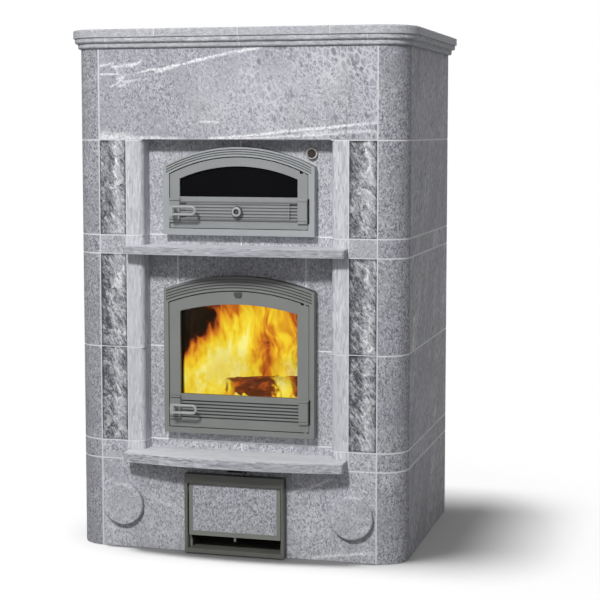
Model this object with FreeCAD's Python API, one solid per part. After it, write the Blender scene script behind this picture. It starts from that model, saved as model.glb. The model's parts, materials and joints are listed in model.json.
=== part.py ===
import FreeCAD, Part
import math
import os
from collections import namedtuple

# Masonry heater with a bake oven, its stone shell laid in seven courses.
# Millimetres: +X to the right of someone facing it, +Y to the back, +Z up.
# The origin is the middle of the body's footprint, on the floor.

Vector = FreeCAD.Vector
Arch = namedtuple("Arch", "half foot shoulder crown")
Door = namedtuple("Door", "name outer depth stile rail band grooves window ribs rib_pitch handle_z")

# Body and courses
BODY_W = 1090.0
BODY_D = 745.0
CORNER_R = 88.0
WALL = 70.0
JOINT = 3.0
JOINT_SET_BACK = 0.7
COURSE_TOPS = (292.0, 352.0, 658.0, 960.0, 1020.0, 1324.0, 1614.0)
ALL_COURSES = range(len(COURSE_TOPS))
PLINTH, LOWER_BAND, LOWER, UPPER, UPPER_BAND, OVEN, LINTEL = ALL_COURSES

# Room beside loose and sliding pieces, overlap of joined ones, and the margin for finding an edge
PLAY = 0.5
OVERLAP = 1.0
NEAR = 0.01

# Front relief
PANEL_X = 366.0
NICHE_X = 310.0
NICHE_DEPTH = 60.0
NICHE_STONE = 80.0
PILLAR_ROUND = 18.0
FIRE_STONE_X = 214.0
SILL_TOP = 396.0
FIRE_LINTEL_FOOT = 842.0
OVEN_HOLE = (1040.0, 1255.0)

# Shelves: half length, top, reach past the front at the ends and in the middle
SHELF_HALF = 363.0
LOWER_SHELF_TOP = 324.0
LOWER_SHELF_REACH = (60.0, 95.0)
UPPER_SHELF_TOP = 988.0
UPPER_SHELF_REACH = (48.0, 58.0)
SHELF_CORNER = 10.0
SHELF_EDGE = 4.0

# Cornice
STEP_H = 17.0
STEP_OUT = (10.0, 20.0)
STEP_NOSE = 7.0
TOP_SLAB_H = 26.0
TOP_SLAB_OUT = 25.0
TOP_SLAB_EDGE = 5.0
MOULDING_JOINTS = (-426.0, 17.0, 427.0)
TOP_JOINTS = (-260.0, 16.0, 311.0)
CORNICE_JOINT = 2.0
MOULDING_DEPTH = 100.0

# Core and smoke way
BASE_SLAB_H = 25.0
CORE_X = 300.0
CORE_BACK = 200.0
FIREBOX_X = 200.0
FLOOR_FOOT = 300.0
OVEN_X = 250.0
OVEN_CEILING_TOP = 1384.0
COVER_FOOT = 1556.0
ASH_PIT_X = 165.0
GRATE = (110.0, -150.0, 110.0)
GRATE_H = 12.0
GRATE_LEDGE = 10.0
GRATE_BAR = 12.0
GRATE_SLOT = 10.0
GRATE_PLAY = 1.0
THROAT = (160.0, 130.0, 200.0)
OVEN_OUTLET = (200.0, -200.0, -130.0)
COLLAR_R = 90.0
COLLAR_WALL = 3.0
COLLAR_OUT = 40.0
COLLAR_Z = 160.0

# Doors
FIRE_DOOR = Door(
    name="fire",
    outer=Arch(250.0, 381.5, 847.5, 892.0),
    depth=36.0,
    stile=16.0,
    rail=18.0,
    band=45.0,
    grooves=4,
    window=Arch(195.0, 509.0, 777.0, 802.6),
    ribs=(430.0, 490.0),
    rib_pitch=10.6,
    handle_z=465.0,
)
OVEN_DOOR = Door(
    name="oven",
    outer=Arch(250.0, 1022.0, 1240.0, 1301.5),
    depth=33.0,
    stile=20.0,
    rail=20.0,
    band=29.0,
    grooves=3,
    window=Arch(195.0, 1144.0, 1201.0, 1241.0),
    ribs=(1074.5, 1124.7),
    rib_pitch=10.0,
    handle_z=1100.7,
)
LEAF_GAP = 2.0
LEAF_HEAD_GAP = 3.5
LEAF_INSET = 2.0
LEAF_CLEAR = 4.0
REBATE_LAP = 14.0
REBATE_T = 6.0
GROOVE_W = 3.5
GROOVE_DEPTH = 3.0
RIB_GROOVE = 4.2
RIB_DEPTH = 5.0
RIB_LEFT = -191.0
RIB_CLEAR = 2.0
GLASS_T = 5.0
GLASS_LAP = 8.0
GLASS_PLAY = 0.5
GLASS_REBATE = 12.0

# Hinges, on the right edge of each leaf
HINGE_IN = 12.0
HINGE_SET_BACK = 4.5
HINGE_PIN_R = 4.0
RUNNING_PLAY = 0.05
HINGE_PIN_REACH = 22.0
HINGE_RELIEF_R = 19.0
SWING_CLIP = (14.0, 9.0)
SWING_ROOM = 1.0
BLOCK_IN = (31.5, 1.0)
BLOCK_HALF_H = 38.0
BLOCK_OUT = 8.0
BLOCK_GROOVE = 2.5
BLOCK_GROOVE_IN = 7.5

# Lug of the fire leaf: half width, drop below the head, height, reach
LUG = (12.0, 2.0, 15.0, 6.0)
LUG_ROUND = 6.0

# Loop handles, on the left
HANDLE_X = -210.0
PLATE_X = (-228.0, -193.0)
LOOP_END_X = -126.0
LOOP_HALF_GAP = 12.0
LOOP_BAR_R = 4.5
LOOP_OUT = 40.0
HUB_HALF_X = 6.0
STEM_R = 9.0
SPINDLE_R = 5.0
TONGUE_SHORT = 0.5
TONGUE_HALF_H = 5.0
TONGUE_T = 5.0
TONGUE_EYE_R = 7.5
TONGUE_SET_BACK = 2.5
TONGUE_POCKET = (9.0, 32.0, 9.0)

# Air slide of the oven door
SLIDE_HALF = 170.0
SLIDE_EDGE = 2.0
SLIDE_T = 5.0
SLIDE_GROOVE = 2.5
SLIDE_TRAVEL = 18.0
GUIDE_H = 5.0
GUIDE_OUT = 5.0
PORT_X = (152.0, 168.0)
PORT_HALF_H = 14.0
KNOB_R = 18.0
KNOB_LENGTH = 17.0
KNOB_RECESS_R = 8.5
KNOB_RECESS = 9.0
KNOB_EDGE = 6.0
KNOB_Z = 1098.0
KNOB_STEM_R = 4.0
KNOB_SCREW_R = 4.5

# Ash drawer and hatch
ASH_STONE_X = 153.0
ASH_LINTEL_FOOT = 246.0
ASH_FRAME = (165.0, 4.0, 259.5)
ASH_FRAME_OUT = 30.0
ASH_STILE = 9.0
ASH_HEAD = 31.0
ASH_SILL = 14.0
ASH_SLEEVE_X = 150.0
ASH_SLEEVE_T = 3.0
RUNNER_X = 134.0
RUNNER_Z = (60.0, 63.0)
RUNNER_BACK = 100.0
FRONT_X = 152.0
FRONT_Z = (60.0, 226.0)
FRONT_T = 14.0
FRONT_SET_BACK = 8.0
PANEL_HALF = 139.0
PANEL_Z = (75.0, 225.0)
PANEL_T = 10.0
PAN_X = 140.0
PAN_Z = (63.4, 200.0)
PAN_BACK = 20.0
PAN_WALL = 2.0
PEG_R = 4.0
PEG_FOOT = 46.0

# Air lever, soot plugs and round disc
LEVER_SLOT = (33.0, 264.5, 271.5)
LEVER_X = 28.0
LEVER_R = 2.8
LEVER_KNOB_R = 5.0
LEVER_KNOB_OUT = 14.0
LEVER_PLATE = (50.0, 255.0, 281.0)
LEVER_PLATE_T = 4.0
PLUG_X = 381.0
PLUG_Z = 143.0
PLUG_R = 68.0
PLUG_OUT = 20.0
PLUG_EDGE = 6.0
PLUG_NECK_R = 59.5
PLUG_NECK = 60.0
PLUG_HOLE_R = 60.0
DISC_X = 235.0
DISC_Z = 1282.0
DISC_R = 18.0
DISC_OUT = 12.0
DISC_RIM = 3.0
DISC_DISH = 2.0

# Places that follow from the driving dimensions
HALF_W = BODY_W / 2
FRONT = -BODY_D / 2
BACK = BODY_D / 2
CORNER_X = HALF_W - CORNER_R
STONE_BACK = FRONT + CORNER_R
INNER_X = HALF_W - WALL
INNER_BACK = BACK - WALL
NICHE_Y = FRONT + NICHE_DEPTH
CORE_FRONT = NICHE_Y + NICHE_STONE
HALF_JOINT = JOINT / 2
BODY_TOP = COURSE_TOPS[LINTEL]
SIDES = (("left", -1), ("right", 1))


# Shapes used by several pieces
def box(x0, x1, y0, y1, z0, z1):
    """Block between the given limits, which may come in either order."""
    low = Vector(min(x0, x1), min(y0, y1), min(z0, z1))
    return Part.makeBox(abs(x1 - x0), abs(y1 - y0), abs(z1 - z0), low)


def rod_y(x, z, y0, y1, radius):
    """Round bar that runs front to back."""
    return Part.makeCylinder(radius, y1 - y0, Vector(x, y0, z), Vector(0, 1, 0))


def rod_z(x, y, z0, z1, radius):
    """Upright round bar."""
    return Part.makeCylinder(radius, z1 - z0, Vector(x, y, z0))


def arch_block(arch, y0, y1):
    """Upright plate with a flat foot and an arched head, from y0 back to y1."""
    foot_left = Vector(-arch.half, y0, arch.foot)
    foot_right = Vector(arch.half, y0, arch.foot)
    head_right = Vector(arch.half, y0, arch.shoulder)
    head_left = Vector(-arch.half, y0, arch.shoulder)
    edges = [
        Part.LineSegment(foot_left, foot_right),
        Part.LineSegment(foot_right, head_right),
        Part.Arc(head_right, Vector(0, y0, arch.crown), head_left),
        Part.LineSegment(head_left, foot_left),
    ]
    wire = Part.Wire([edge.toShape() for edge in edges])
    return Part.Face(wire).extrude(Vector(0, y1 - y0, 0))


def arch_circle(arch):
    """Radius of an arched head, and the height of its centre."""
    rise = arch.crown - arch.shoulder
    radius = (arch.half**2 + rise**2) / (2 * rise)
    return radius, arch.crown - radius


def inset(arch, side, foot, head):
    """Arch drawn in by a margin at its sides, foot and head; the head stays concentric."""
    radius, centre = arch_circle(arch)
    half = arch.half - side
    shoulder = centre + math.sqrt((radius - head) ** 2 - half**2)
    return Arch(half, arch.foot + foot, shoulder, arch.crown - head)


def group(shapes):
    """Several separate solids in one node."""
    return Part.makeCompound(shapes)


def fused(shapes):
    """One solid out of overlapping or touching shapes."""
    return shapes[0].multiFuse(shapes[1:]).removeSplitter()


def rounded(shape, radius, wanted):
    """Shape with the edges that pass the test rounded off."""
    edges = [edge for edge in shape.Edges if wanted(edge.BoundBox)]
    return shape.makeFillet(radius, edges)


def upright_at(x, y):
    """Test for the upright edge at a place in plan."""

    def wanted(b):
        off = abs(b.XMin - x) + abs(b.XMax - x) + abs(b.YMin - y) + abs(b.YMax - y)
        return b.ZLength > NEAR and off < NEAR

    return wanted


def level_at(z, line=math.inf):
    """Test for the level edges at a height, or of them only those that reach forward of a line."""
    return lambda b: b.ZLength < NEAR and abs(b.ZMin - z) < NEAR and b.YMin < line


def foot_corner_at(x, z):
    """Test for the edge from front to back at a place in the front view."""

    def wanted(b):
        off = abs(b.XMin - x) + abs(b.XMax - x) + abs(b.ZMin - z) + abs(b.ZMax - z)
        return b.YLength > NEAR and off < NEAR

    return wanted


def across_at(y):
    """Test for the edges that lie in an upright plane across the body."""
    return lambda b: b.YLength < NEAR and abs(b.YMin - y) < NEAR


# Stone shell
def course(index):
    """Foot and head of the stones of one course, less their half joints."""
    foot = COURSE_TOPS[index - 1] + HALF_JOINT if index > PLINTH else 0.0
    head = COURSE_TOPS[index] - HALF_JOINT if index < LINTEL else BODY_TOP
    return foot, head


def front_stone(x0, x1, foot, head):
    """Stone flush with the front, less half a joint at each end."""
    return box(x0 + HALF_JOINT, x1 - HALF_JOINT, FRONT, STONE_BACK, foot, head)


def side_stone(side, near, far, foot, head):
    """Front stone given by its distances from the middle, on one side."""
    x0, x1 = sorted((side * near, side * far))
    return front_stone(x0, x1, foot, head)


def corner_stone(side, foot, head):
    """Quarter-round stone of a front corner."""
    round_part = rod_z(side * CORNER_X, STONE_BACK, foot, head, CORNER_R)
    quarter = box(side * (CORNER_X + HALF_JOINT), side * HALF_W, FRONT, STONE_BACK, foot, head)
    return round_part.common(quarter)


def corner_stones(side):
    return group([corner_stone(side, *course(i)) for i in ALL_COURSES])


def side_slabs(side):
    return group([box(side * INNER_X, side * HALF_W, STONE_BACK, BACK, *course(i)) for i in ALL_COURSES])


def back_slabs():
    """Slabs between the side walls; the lowest is pierced for the flue collar."""
    slabs = [box(-INNER_X, INNER_X, INNER_BACK, BACK, *course(i)) for i in ALL_COURSES]
    slabs[PLINTH] = slabs[PLINTH].cut(rod_y(0, COLLAR_Z, INNER_BACK, BACK, COLLAR_R + COLLAR_WALL))
    return group(slabs)


def plinth_front(side):
    """Plinth slab beside the hatch, with the hole of the soot plug."""
    slab = side_stone(side, ASH_STONE_X, CORNER_X, *course(PLINTH))
    return slab.cut(rod_y(side * PLUG_X, PLUG_Z, FRONT, STONE_BACK, PLUG_HOLE_R))


def hatch_lintel():
    """Stone over the hatch, with the slot of the air lever."""
    half, foot, head = LEVER_SLOT
    stone = front_stone(-ASH_STONE_X, ASH_STONE_X, ASH_LINTEL_FOOT, course(PLINTH)[1])
    return stone.cut(box(-half, half, FRONT, STONE_BACK, foot, head))


def split_panels(side):
    return group([side_stone(side, PANEL_X, CORNER_X, *course(i)) for i in (LOWER, UPPER, OVEN)])


def band_stones():
    stones = []
    for _, side in SIDES:
        stones += [side_stone(side, PANEL_X, CORNER_X, *course(i)) for i in (LOWER_BAND, UPPER_BAND)]
    return group(stones)


def band_foot(index):
    """Foot of the band stones that stand on a shelf."""
    return LOWER_SHELF_TOP if index == LOWER_BAND else UPPER_SHELF_TOP


def pillar_stones(side):
    """Pillar beside the niche, with a rounded inner arris; its band stones stand on the shelves."""
    stones = []
    for index in (LOWER_BAND, LOWER, UPPER, UPPER_BAND, OVEN):
        foot, head = course(index)
        if index in (LOWER_BAND, UPPER_BAND):
            foot = band_foot(index)
        stone = box(side * NICHE_X, side * (PANEL_X - HALF_JOINT), FRONT, STONE_BACK, foot, head)
        stones.append(rounded(stone, PILLAR_ROUND, upright_at(side * NICHE_X, FRONT)))
    return group(stones)


def niche_stone(x0, x1, foot, head):
    return box(x0, x1, NICHE_Y, CORE_FRONT, foot, head)


def niche_halves(foot, head):
    """Two niche stones that meet in the middle."""
    return [niche_stone(side * HALF_JOINT, side * NICHE_X, foot, head) for _, side in SIDES]


def band_niche(index):
    return group(niche_halves(band_foot(index), course(index)[1]))


def fire_side_stones():
    stones = []
    for _, side in SIDES:
        near = side * (FIRE_STONE_X + HALF_JOINT)
        stones += [niche_stone(near, side * NICHE_X, *course(i)) for i in (LOWER, UPPER)]
    return group(stones)


def fire_sill():
    half = FIRE_STONE_X - HALF_JOINT
    return niche_stone(-half, half, course(LOWER)[0], SILL_TOP)


def fire_lintel():
    half = FIRE_STONE_X - HALF_JOINT
    return niche_stone(-half, half, FIRE_LINTEL_FOOT, course(UPPER)[1])


def oven_niche():
    """Two stones notched for the oven's mouth."""
    mouth = box(-FIRE_STONE_X, FIRE_STONE_X, NICHE_Y, CORE_FRONT, *OVEN_HOLE)
    return group([half.cut(mouth) for half in niche_halves(*course(OVEN))])


def shelf(foot, top, reach):
    """Slab with a bowed front that lies under the pillars and stands out of the front."""
    ends = FRONT - reach[0]
    back_left = Vector(-SHELF_HALF, STONE_BACK, foot)
    back_right = Vector(SHELF_HALF, STONE_BACK, foot)
    front_right = Vector(SHELF_HALF, ends, foot)
    front_left = Vector(-SHELF_HALF, ends, foot)
    edges = [
        Part.LineSegment(back_left, back_right),
        Part.LineSegment(back_right, front_right),
        Part.Arc(front_right, Vector(0, FRONT - reach[1], foot), front_left),
        Part.LineSegment(front_left, back_left),
    ]
    wire = Part.Wire([edge.toShape() for edge in edges])
    slab = Part.Face(wire).extrude(Vector(0, 0, top - foot))
    for side in (-1, 1):
        slab = rounded(slab, SHELF_CORNER, upright_at(side * SHELF_HALF, ends))
    return rounded(slab, SHELF_EDGE, level_at(top, ends))


def plan_plate(grow, foot, head):
    """Plate of the body's plan, grown outwards all round."""
    half = HALF_W + grow
    radius = CORNER_R + grow
    front = FRONT - grow
    back = BACK + grow
    slant = radius * math.sqrt(0.5)
    mid = Vector(CORNER_X + slant, STONE_BACK - slant, foot)
    corners = [
        Vector(-half, back, foot),
        Vector(half, back, foot),
        Vector(half, STONE_BACK, foot),
        Vector(CORNER_X, front, foot),
        Vector(-CORNER_X, front, foot),
        Vector(-half, STONE_BACK, foot),
    ]
    edges = [
        Part.LineSegment(corners[0], corners[1]),
        Part.LineSegment(corners[1], corners[2]),
        Part.Arc(corners[2], mid, corners[3]),
        Part.LineSegment(corners[3], corners[4]),
        Part.Arc(corners[4], Vector(-mid.x, mid.y, foot), corners[5]),
        Part.LineSegment(corners[5], corners[0]),
    ]
    wire = Part.Wire([edge.toShape() for edge in edges])
    return Part.Face(wire).extrude(Vector(0, 0, head - foot))


def cornice_moulding():
    """Two rounded steps under the top, in stones that meet at the moulding joints."""
    steps = []
    foot = BODY_TOP
    for out in STEP_OUT:
        head = foot + STEP_H
        plate = plan_plate(out, foot, head)
        steps.append(rounded(plate, STEP_NOSE, level_at(foot)))
        foot = head
    ring_x = HALF_W - MOULDING_DEPTH
    ring_front = FRONT + MOULDING_DEPTH
    ring = fused(steps).cut(box(-ring_x, ring_x, ring_front, BACK - MOULDING_DEPTH, BODY_TOP, foot))
    half = CORNICE_JOINT / 2
    reach = HALF_W + TOP_SLAB_OUT
    left, middle, right = MOULDING_JOINTS
    fields = [
        (left + half, middle - half, -reach, ring_front),
        (middle + half, right - half, -reach, ring_front),
        (-reach, left - half, -reach, BACK - MOULDING_DEPTH),
        (right + half, reach, -reach, BACK - MOULDING_DEPTH),
        (-reach, reach, BACK - MOULDING_DEPTH, reach),
    ]
    return group([ring.common(box(*field, BODY_TOP, foot)) for field in fields])


def cornice_top():
    """Top slabs, laid side by side from front to back."""
    foot = BODY_TOP + 2 * STEP_H
    head = foot + TOP_SLAB_H
    plate = plan_plate(TOP_SLAB_OUT, foot, head)
    reach = HALF_W + TOP_SLAB_OUT
    plate = rounded(plate, TOP_SLAB_EDGE, level_at(head))
    half = CORNICE_JOINT / 2
    starts = [-reach] + [x + half for x in TOP_JOINTS]
    ends = [x - half for x in TOP_JOINTS] + [reach]
    return group([plate.common(box(x0, x1, -reach, reach, foot, head)) for x0, x1 in zip(starts, ends)])


# Mortar
def bed_joint(level, niche, mouth):
    """Mortar between two courses: a ring that follows the niche, open where the fire's mouth is."""
    foot = level - HALF_JOINT
    head = level + HALF_JOINT
    core = box(-INNER_X, INNER_X, STONE_BACK, INNER_BACK, foot, head)
    ring = plan_plate(-JOINT_SET_BACK, foot, head).cut(core)
    if not niche:
        return [ring]
    ring = ring.cut(box(-NICHE_X, NICHE_X, FRONT, NICHE_Y + JOINT_SET_BACK, foot, head))
    back_fill = box(-NICHE_X, NICHE_X, STONE_BACK, CORE_FRONT, foot, head)
    bed = fused([ring, back_fill])
    if mouth:
        bed = bed.cut(box(-FIRE_STONE_X, FIRE_STONE_X, FRONT, CORE_FRONT, foot, head))
    return bed.Solids


def head_joint(x, face, back, foot, head):
    """Upright mortar joint behind a face."""
    return box(x - HALF_JOINT, x + HALF_JOINT, face + JOINT_SET_BACK, back, foot, head)


def front_joint(x, foot, head):
    return head_joint(x, FRONT, STONE_BACK, foot, head)


def niche_joint(x, foot, head):
    return head_joint(x, NICHE_Y, CORE_FRONT, foot, head)


def mortar_joints():
    beds = []
    for index in range(LINTEL):
        beds += bed_joint(COURSE_TOPS[index], index > PLINTH, index == LOWER)
    heads = []
    for _, side in SIDES:
        heads += [front_joint(side * CORNER_X, *course(i)) for i in ALL_COURSES]
        heads += [front_joint(side * PANEL_X, *course(i)) for i in range(LOWER_BAND, LINTEL)]
        heads.append(front_joint(side * ASH_STONE_X, ASH_LINTEL_FOOT, course(PLINTH)[1]))
        heads.append(niche_joint(side * FIRE_STONE_X, course(LOWER)[0], SILL_TOP))
        heads.append(niche_joint(side * FIRE_STONE_X, FIRE_LINTEL_FOOT, course(UPPER)[1]))
    heads += [niche_joint(0, band_foot(i), course(i)[1]) for i in (LOWER_BAND, UPPER_BAND)]
    heads.append(niche_joint(0, course(OVEN)[0], OVEN_HOLE[0]))
    heads.append(niche_joint(0, OVEN_HOLE[1], course(OVEN)[1]))
    return group(beds + heads)


# Core and smoke way
def base_slab():
    return box(-INNER_X, INNER_X, STONE_BACK, INNER_BACK, 0, BASE_SLAB_H)


def ash_pit_blocks():
    """Blocks beside the ash pit that carry the firebox floor."""
    levels = (BASE_SLAB_H, FLOOR_FOOT)
    return group([box(side * ASH_PIT_X, side * CORE_X, STONE_BACK, CORE_BACK, *levels) for _, side in SIDES])


def firebox_floor():
    """Hearth slab with a ledged hole for the grate."""
    half, front, back = GRATE
    top = COURSE_TOPS[LOWER_BAND]
    slab = box(-CORE_X, CORE_X, CORE_FRONT, INNER_BACK, FLOOR_FOOT, top)
    seat = box(-half, half, front, back, top - GRATE_H, top)
    clear = half - GRATE_LEDGE
    hole = box(-clear, clear, front + GRATE_LEDGE, back - GRATE_LEDGE, FLOOR_FOOT, top - GRATE_H)
    return slab.cut(fused([seat, hole]))


def fire_grate():
    """Cast grate with slots across it, lying on the ledge."""
    half, front, back = GRATE
    top = COURSE_TOPS[LOWER_BAND]
    across = half - GRATE_PLAY
    grate = box(-across, across, front + GRATE_PLAY, back - GRATE_PLAY, top - GRATE_H, top)
    pitch = GRATE_BAR + GRATE_SLOT
    count = int((back - front - 2 * GRATE_LEDGE) // pitch)
    start = front + (back - front - count * pitch) / 2 + GRATE_BAR / 2
    slot_half = half - 2 * GRATE_LEDGE
    slots = [
        box(-slot_half, slot_half, start + i * pitch, start + i * pitch + GRATE_SLOT, top - GRATE_H, top)
        for i in range(count)
    ]
    return grate.cut(group(slots))


def firebox_linings():
    head = COURSE_TOPS[UPPER]
    foot = COURSE_TOPS[LOWER_BAND]
    return group(
        [box(side * FIREBOX_X, side * CORE_X, CORE_FRONT, CORE_BACK, foot, head) for _, side in SIDES]
    )


def firebox_back():
    return box(-CORE_X, CORE_X, CORE_BACK, INNER_BACK, COURSE_TOPS[LOWER_BAND], COURSE_TOPS[UPPER])


def pierced_slab(hole, foot, head):
    """Slab across the core with a slot that the smoke rises through."""
    half, front, back = hole
    slab = box(-CORE_X, CORE_X, CORE_FRONT, INNER_BACK, foot, head)
    return slab.cut(box(-half, half, front, back, foot, head))


def oven_lining():
    """Two side walls and the back wall of the oven."""
    foot = COURSE_TOPS[UPPER_BAND]
    head = COURSE_TOPS[OVEN]
    walls = [box(side * OVEN_X, side * CORE_X, CORE_FRONT, CORE_BACK, foot, head) for _, side in SIDES]
    walls.append(box(-CORE_X, CORE_X, CORE_BACK, INNER_BACK, foot, head))
    return group(walls)


def cover_slab():
    return box(-INNER_X, INNER_X, STONE_BACK, INNER_BACK, COVER_FOOT, BODY_TOP)


def flue_collar():
    tube = rod_y(0, COLLAR_Z, INNER_BACK, BACK + COLLAR_OUT, COLLAR_R + COLLAR_WALL)
    return tube.cut(rod_y(0, COLLAR_Z, INNER_BACK, BACK + COLLAR_OUT, COLLAR_R))


# Doors
def leaf_front(door):
    return NICHE_Y - door.depth + LEAF_INSET


def leaf_back(door):
    return NICHE_Y - REBATE_T - LEAF_CLEAR


def hinge_y(door):
    return leaf_front(door) + HINGE_SET_BACK


def leaf_arch(door):
    return inset(door.outer, door.stile + LEAF_GAP, door.rail + LEAF_GAP, door.band + LEAF_HEAD_GAP)


def hinge_x(door):
    return leaf_arch(door).half - HINGE_IN


def head_at(arch, x):
    """Height of an arched head at a distance from the middle."""
    radius, centre = arch_circle(arch)
    return centre + math.sqrt(radius**2 - x**2)


def band_groove(door, index):
    """One groove along the arched band of a frame."""
    radius, centre = arch_circle(door.outer)
    pitch = door.band / (door.grooves + 1)
    middle = radius - (index + 1) * pitch
    front = NICHE_Y - door.depth
    ring = rod_y(0, centre, front, front + GROOVE_DEPTH, middle + GROOVE_W / 2)
    ring = ring.cut(rod_y(0, centre, front, front + GROOVE_DEPTH, middle - GROOVE_W / 2))
    half = door.outer.half - door.stile / 2
    return ring.common(box(-half, half, front, front + GROOVE_DEPTH, centre, door.outer.crown))


def pin_spans(door):
    """Feet and heads of the lower and upper hinge pins."""
    opening = inset(door.outer, door.stile, door.rail, door.band)
    sill = opening.foot
    head = head_at(opening, hinge_x(door))
    return ((sill - door.rail / 2, sill + HINGE_PIN_REACH), (head - HINGE_PIN_REACH, head + door.rail / 2))


def hinge_pins(door, radius):
    return [rod_z(hinge_x(door), hinge_y(door), foot, head, radius) for foot, head in pin_spans(door)]


def door_frame(door):
    """Arched frame with grooves in its head and a rebate behind the leaf, relieved round the hinge block."""
    front = NICHE_Y - door.depth
    opening = inset(door.outer, door.stile, door.rail, door.band)
    lip = inset(opening, REBATE_LAP, REBATE_LAP, REBATE_LAP)
    band = arch_block(door.outer, front, NICHE_Y).cut(arch_block(opening, front, NICHE_Y))
    band = band.cut(group([band_groove(door, i) for i in range(door.grooves)]))
    rebate_front = NICHE_Y - REBATE_T
    rebate = arch_block(opening, rebate_front, NICHE_Y).cut(arch_block(lip, rebate_front, NICHE_Y))
    frame = fused([band, rebate])
    reach = BLOCK_HALF_H + LEAF_GAP
    foot = door.handle_z - reach
    relief = rod_z(hinge_x(door), hinge_y(door), foot, foot + 2 * reach, HINGE_RELIEF_R)
    return frame.cut(group([relief] + hinge_pins(door, HINGE_PIN_R)))


def rib_right(door):
    """Right end of the ribs, just short of the hinge block."""
    return leaf_arch(door).half - BLOCK_IN[0] - RIB_CLEAR


def groove_feet(door):
    """Feet of the level grooves that leave the ribs of the lower band standing."""
    foot, head = door.ribs
    count = int((head - foot - RIB_GROOVE) // door.rib_pitch) + 1
    start = (foot + head - (count - 1) * door.rib_pitch - RIB_GROOVE) / 2
    return [start + i * door.rib_pitch for i in range(count)]


def rib_grooves(door, x0, x1, front, depth):
    return [box(x0, x1, front, front + depth, z, z + RIB_GROOVE) for z in groove_feet(door)]


def grooved_block(x0, x1, front, back, middle):
    """Raised block with a level groove near each end."""
    block = box(x0, x1, front, back, middle - BLOCK_HALF_H, middle + BLOCK_HALF_H)
    grooves = []
    for end in (-1, 1):
        z = middle + end * (BLOCK_HALF_H - BLOCK_GROOVE_IN)
        grooves.append(box(x0, x1, front, front + BLOCK_GROOVE, z - BLOCK_GROOVE / 2, z + BLOCK_GROOVE / 2))
    return block.cut(group(grooves))


def swing_clip(door):
    """Bit of the leaf's head over the hinge that would catch the arched band as the leaf swings."""
    left, right = SWING_CLIP
    opening = inset(door.outer, door.stile, door.rail, door.band)
    level = head_at(opening, hinge_x(door) + right) - SWING_ROOM
    return box(
        hinge_x(door) - left, opening.half, leaf_front(door), leaf_back(door), level, door.outer.crown
    )


def door_leaf(door):
    """Cast leaf with a window, a ribbed band, a hinge block and a pocket for the latch tongue."""
    front = leaf_front(door)
    back = leaf_back(door)
    lap = GLASS_LAP + GLASS_PLAY
    glass_seat = inset(door.window, -lap, -lap, -lap)
    above, below, deep = TONGUE_POCKET
    cuts = [
        swing_clip(door),
        arch_block(door.window, front, back),
        arch_block(glass_seat, back - GLASS_REBATE, back),
        rod_y(HANDLE_X, door.handle_z, front, back, SPINDLE_R + RUNNING_PLAY),
        box(
            -door.outer.half,
            HANDLE_X + SPINDLE_R + deep,
            back - deep,
            back,
            door.handle_z - below,
            door.handle_z + above,
        ),
    ]
    cuts += hinge_pins(door, HINGE_PIN_R + RUNNING_PLAY)
    cuts += rib_grooves(door, RIB_LEFT, rib_right(door), front, RIB_DEPTH)
    edge = leaf_arch(door).half
    block = grooved_block(edge - BLOCK_IN[0], edge - BLOCK_IN[1], front - BLOCK_OUT, front, door.handle_z)
    leaf = fused([arch_block(leaf_arch(door), front, back), block])
    return leaf.cut(group(cuts))


def door_glass(door):
    seat = leaf_back(door) - GLASS_REBATE
    return arch_block(inset(door.window, -GLASS_LAP, -GLASS_LAP, -GLASS_LAP), seat, seat + GLASS_T)


def handle_base(door):
    front = leaf_front(door)
    plate = grooved_block(*PLATE_X, front - BLOCK_OUT, front, door.handle_z)
    return plate.cut(rod_y(HANDLE_X, door.handle_z, front - BLOCK_OUT, front, SPINDLE_R + RUNNING_PLAY))


def handle_loop(door):
    """Loop of round bar on a hub, with a stem and a spindle through the leaf."""
    z = door.handle_z
    bar_y = leaf_front(door) - LOOP_OUT
    plate_front = leaf_front(door) - BLOCK_OUT
    bend_x = LOOP_END_X - LOOP_BAR_R - LOOP_HALF_GAP
    pieces = []
    for side in (-1, 1):
        start = Vector(HANDLE_X, bar_y, z + side * LOOP_HALF_GAP)
        pieces.append(Part.makeCylinder(LOOP_BAR_R, bend_x - HANDLE_X, start, Vector(1, 0, 0)))
    ring = Part.makeTorus(LOOP_HALF_GAP, LOOP_BAR_R, Vector(bend_x, bar_y, z), Vector(0, 1, 0))
    reach = LOOP_HALF_GAP + LOOP_BAR_R
    bend = ring.common(box(bend_x, bend_x + reach, bar_y - reach, bar_y + reach, z - reach, z + reach))
    pieces.append(bend)
    hub_x = (HANDLE_X - HUB_HALF_X, HANDLE_X + HUB_HALF_X)
    pieces.append(box(*hub_x, bar_y - LOOP_BAR_R, bar_y + LOOP_BAR_R, z - reach, z + reach))
    pieces.append(rod_y(HANDLE_X, z, bar_y, plate_front - PLAY, STEM_R))
    pieces.append(rod_y(HANDLE_X, z, bar_y, tongue_back(door), SPINDLE_R))
    return fused(pieces)


def tongue_back(door):
    """Back face of the latch tongue, just inside the back of the leaf."""
    return leaf_back(door) - TONGUE_SET_BACK


def latch_tongue(door):
    back = tongue_back(door)
    tip = box(
        TONGUE_SHORT - leaf_arch(door).half,
        HANDLE_X,
        back - TONGUE_T,
        back,
        door.handle_z - TONGUE_HALF_H,
        door.handle_z + TONGUE_HALF_H,
    )
    eye = rod_y(HANDLE_X, door.handle_z, back - TONGUE_T, back, TONGUE_EYE_R)
    return fused([tip, eye]).cut(rod_y(HANDLE_X, door.handle_z, back - TONGUE_T, back, SPINDLE_R))


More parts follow.
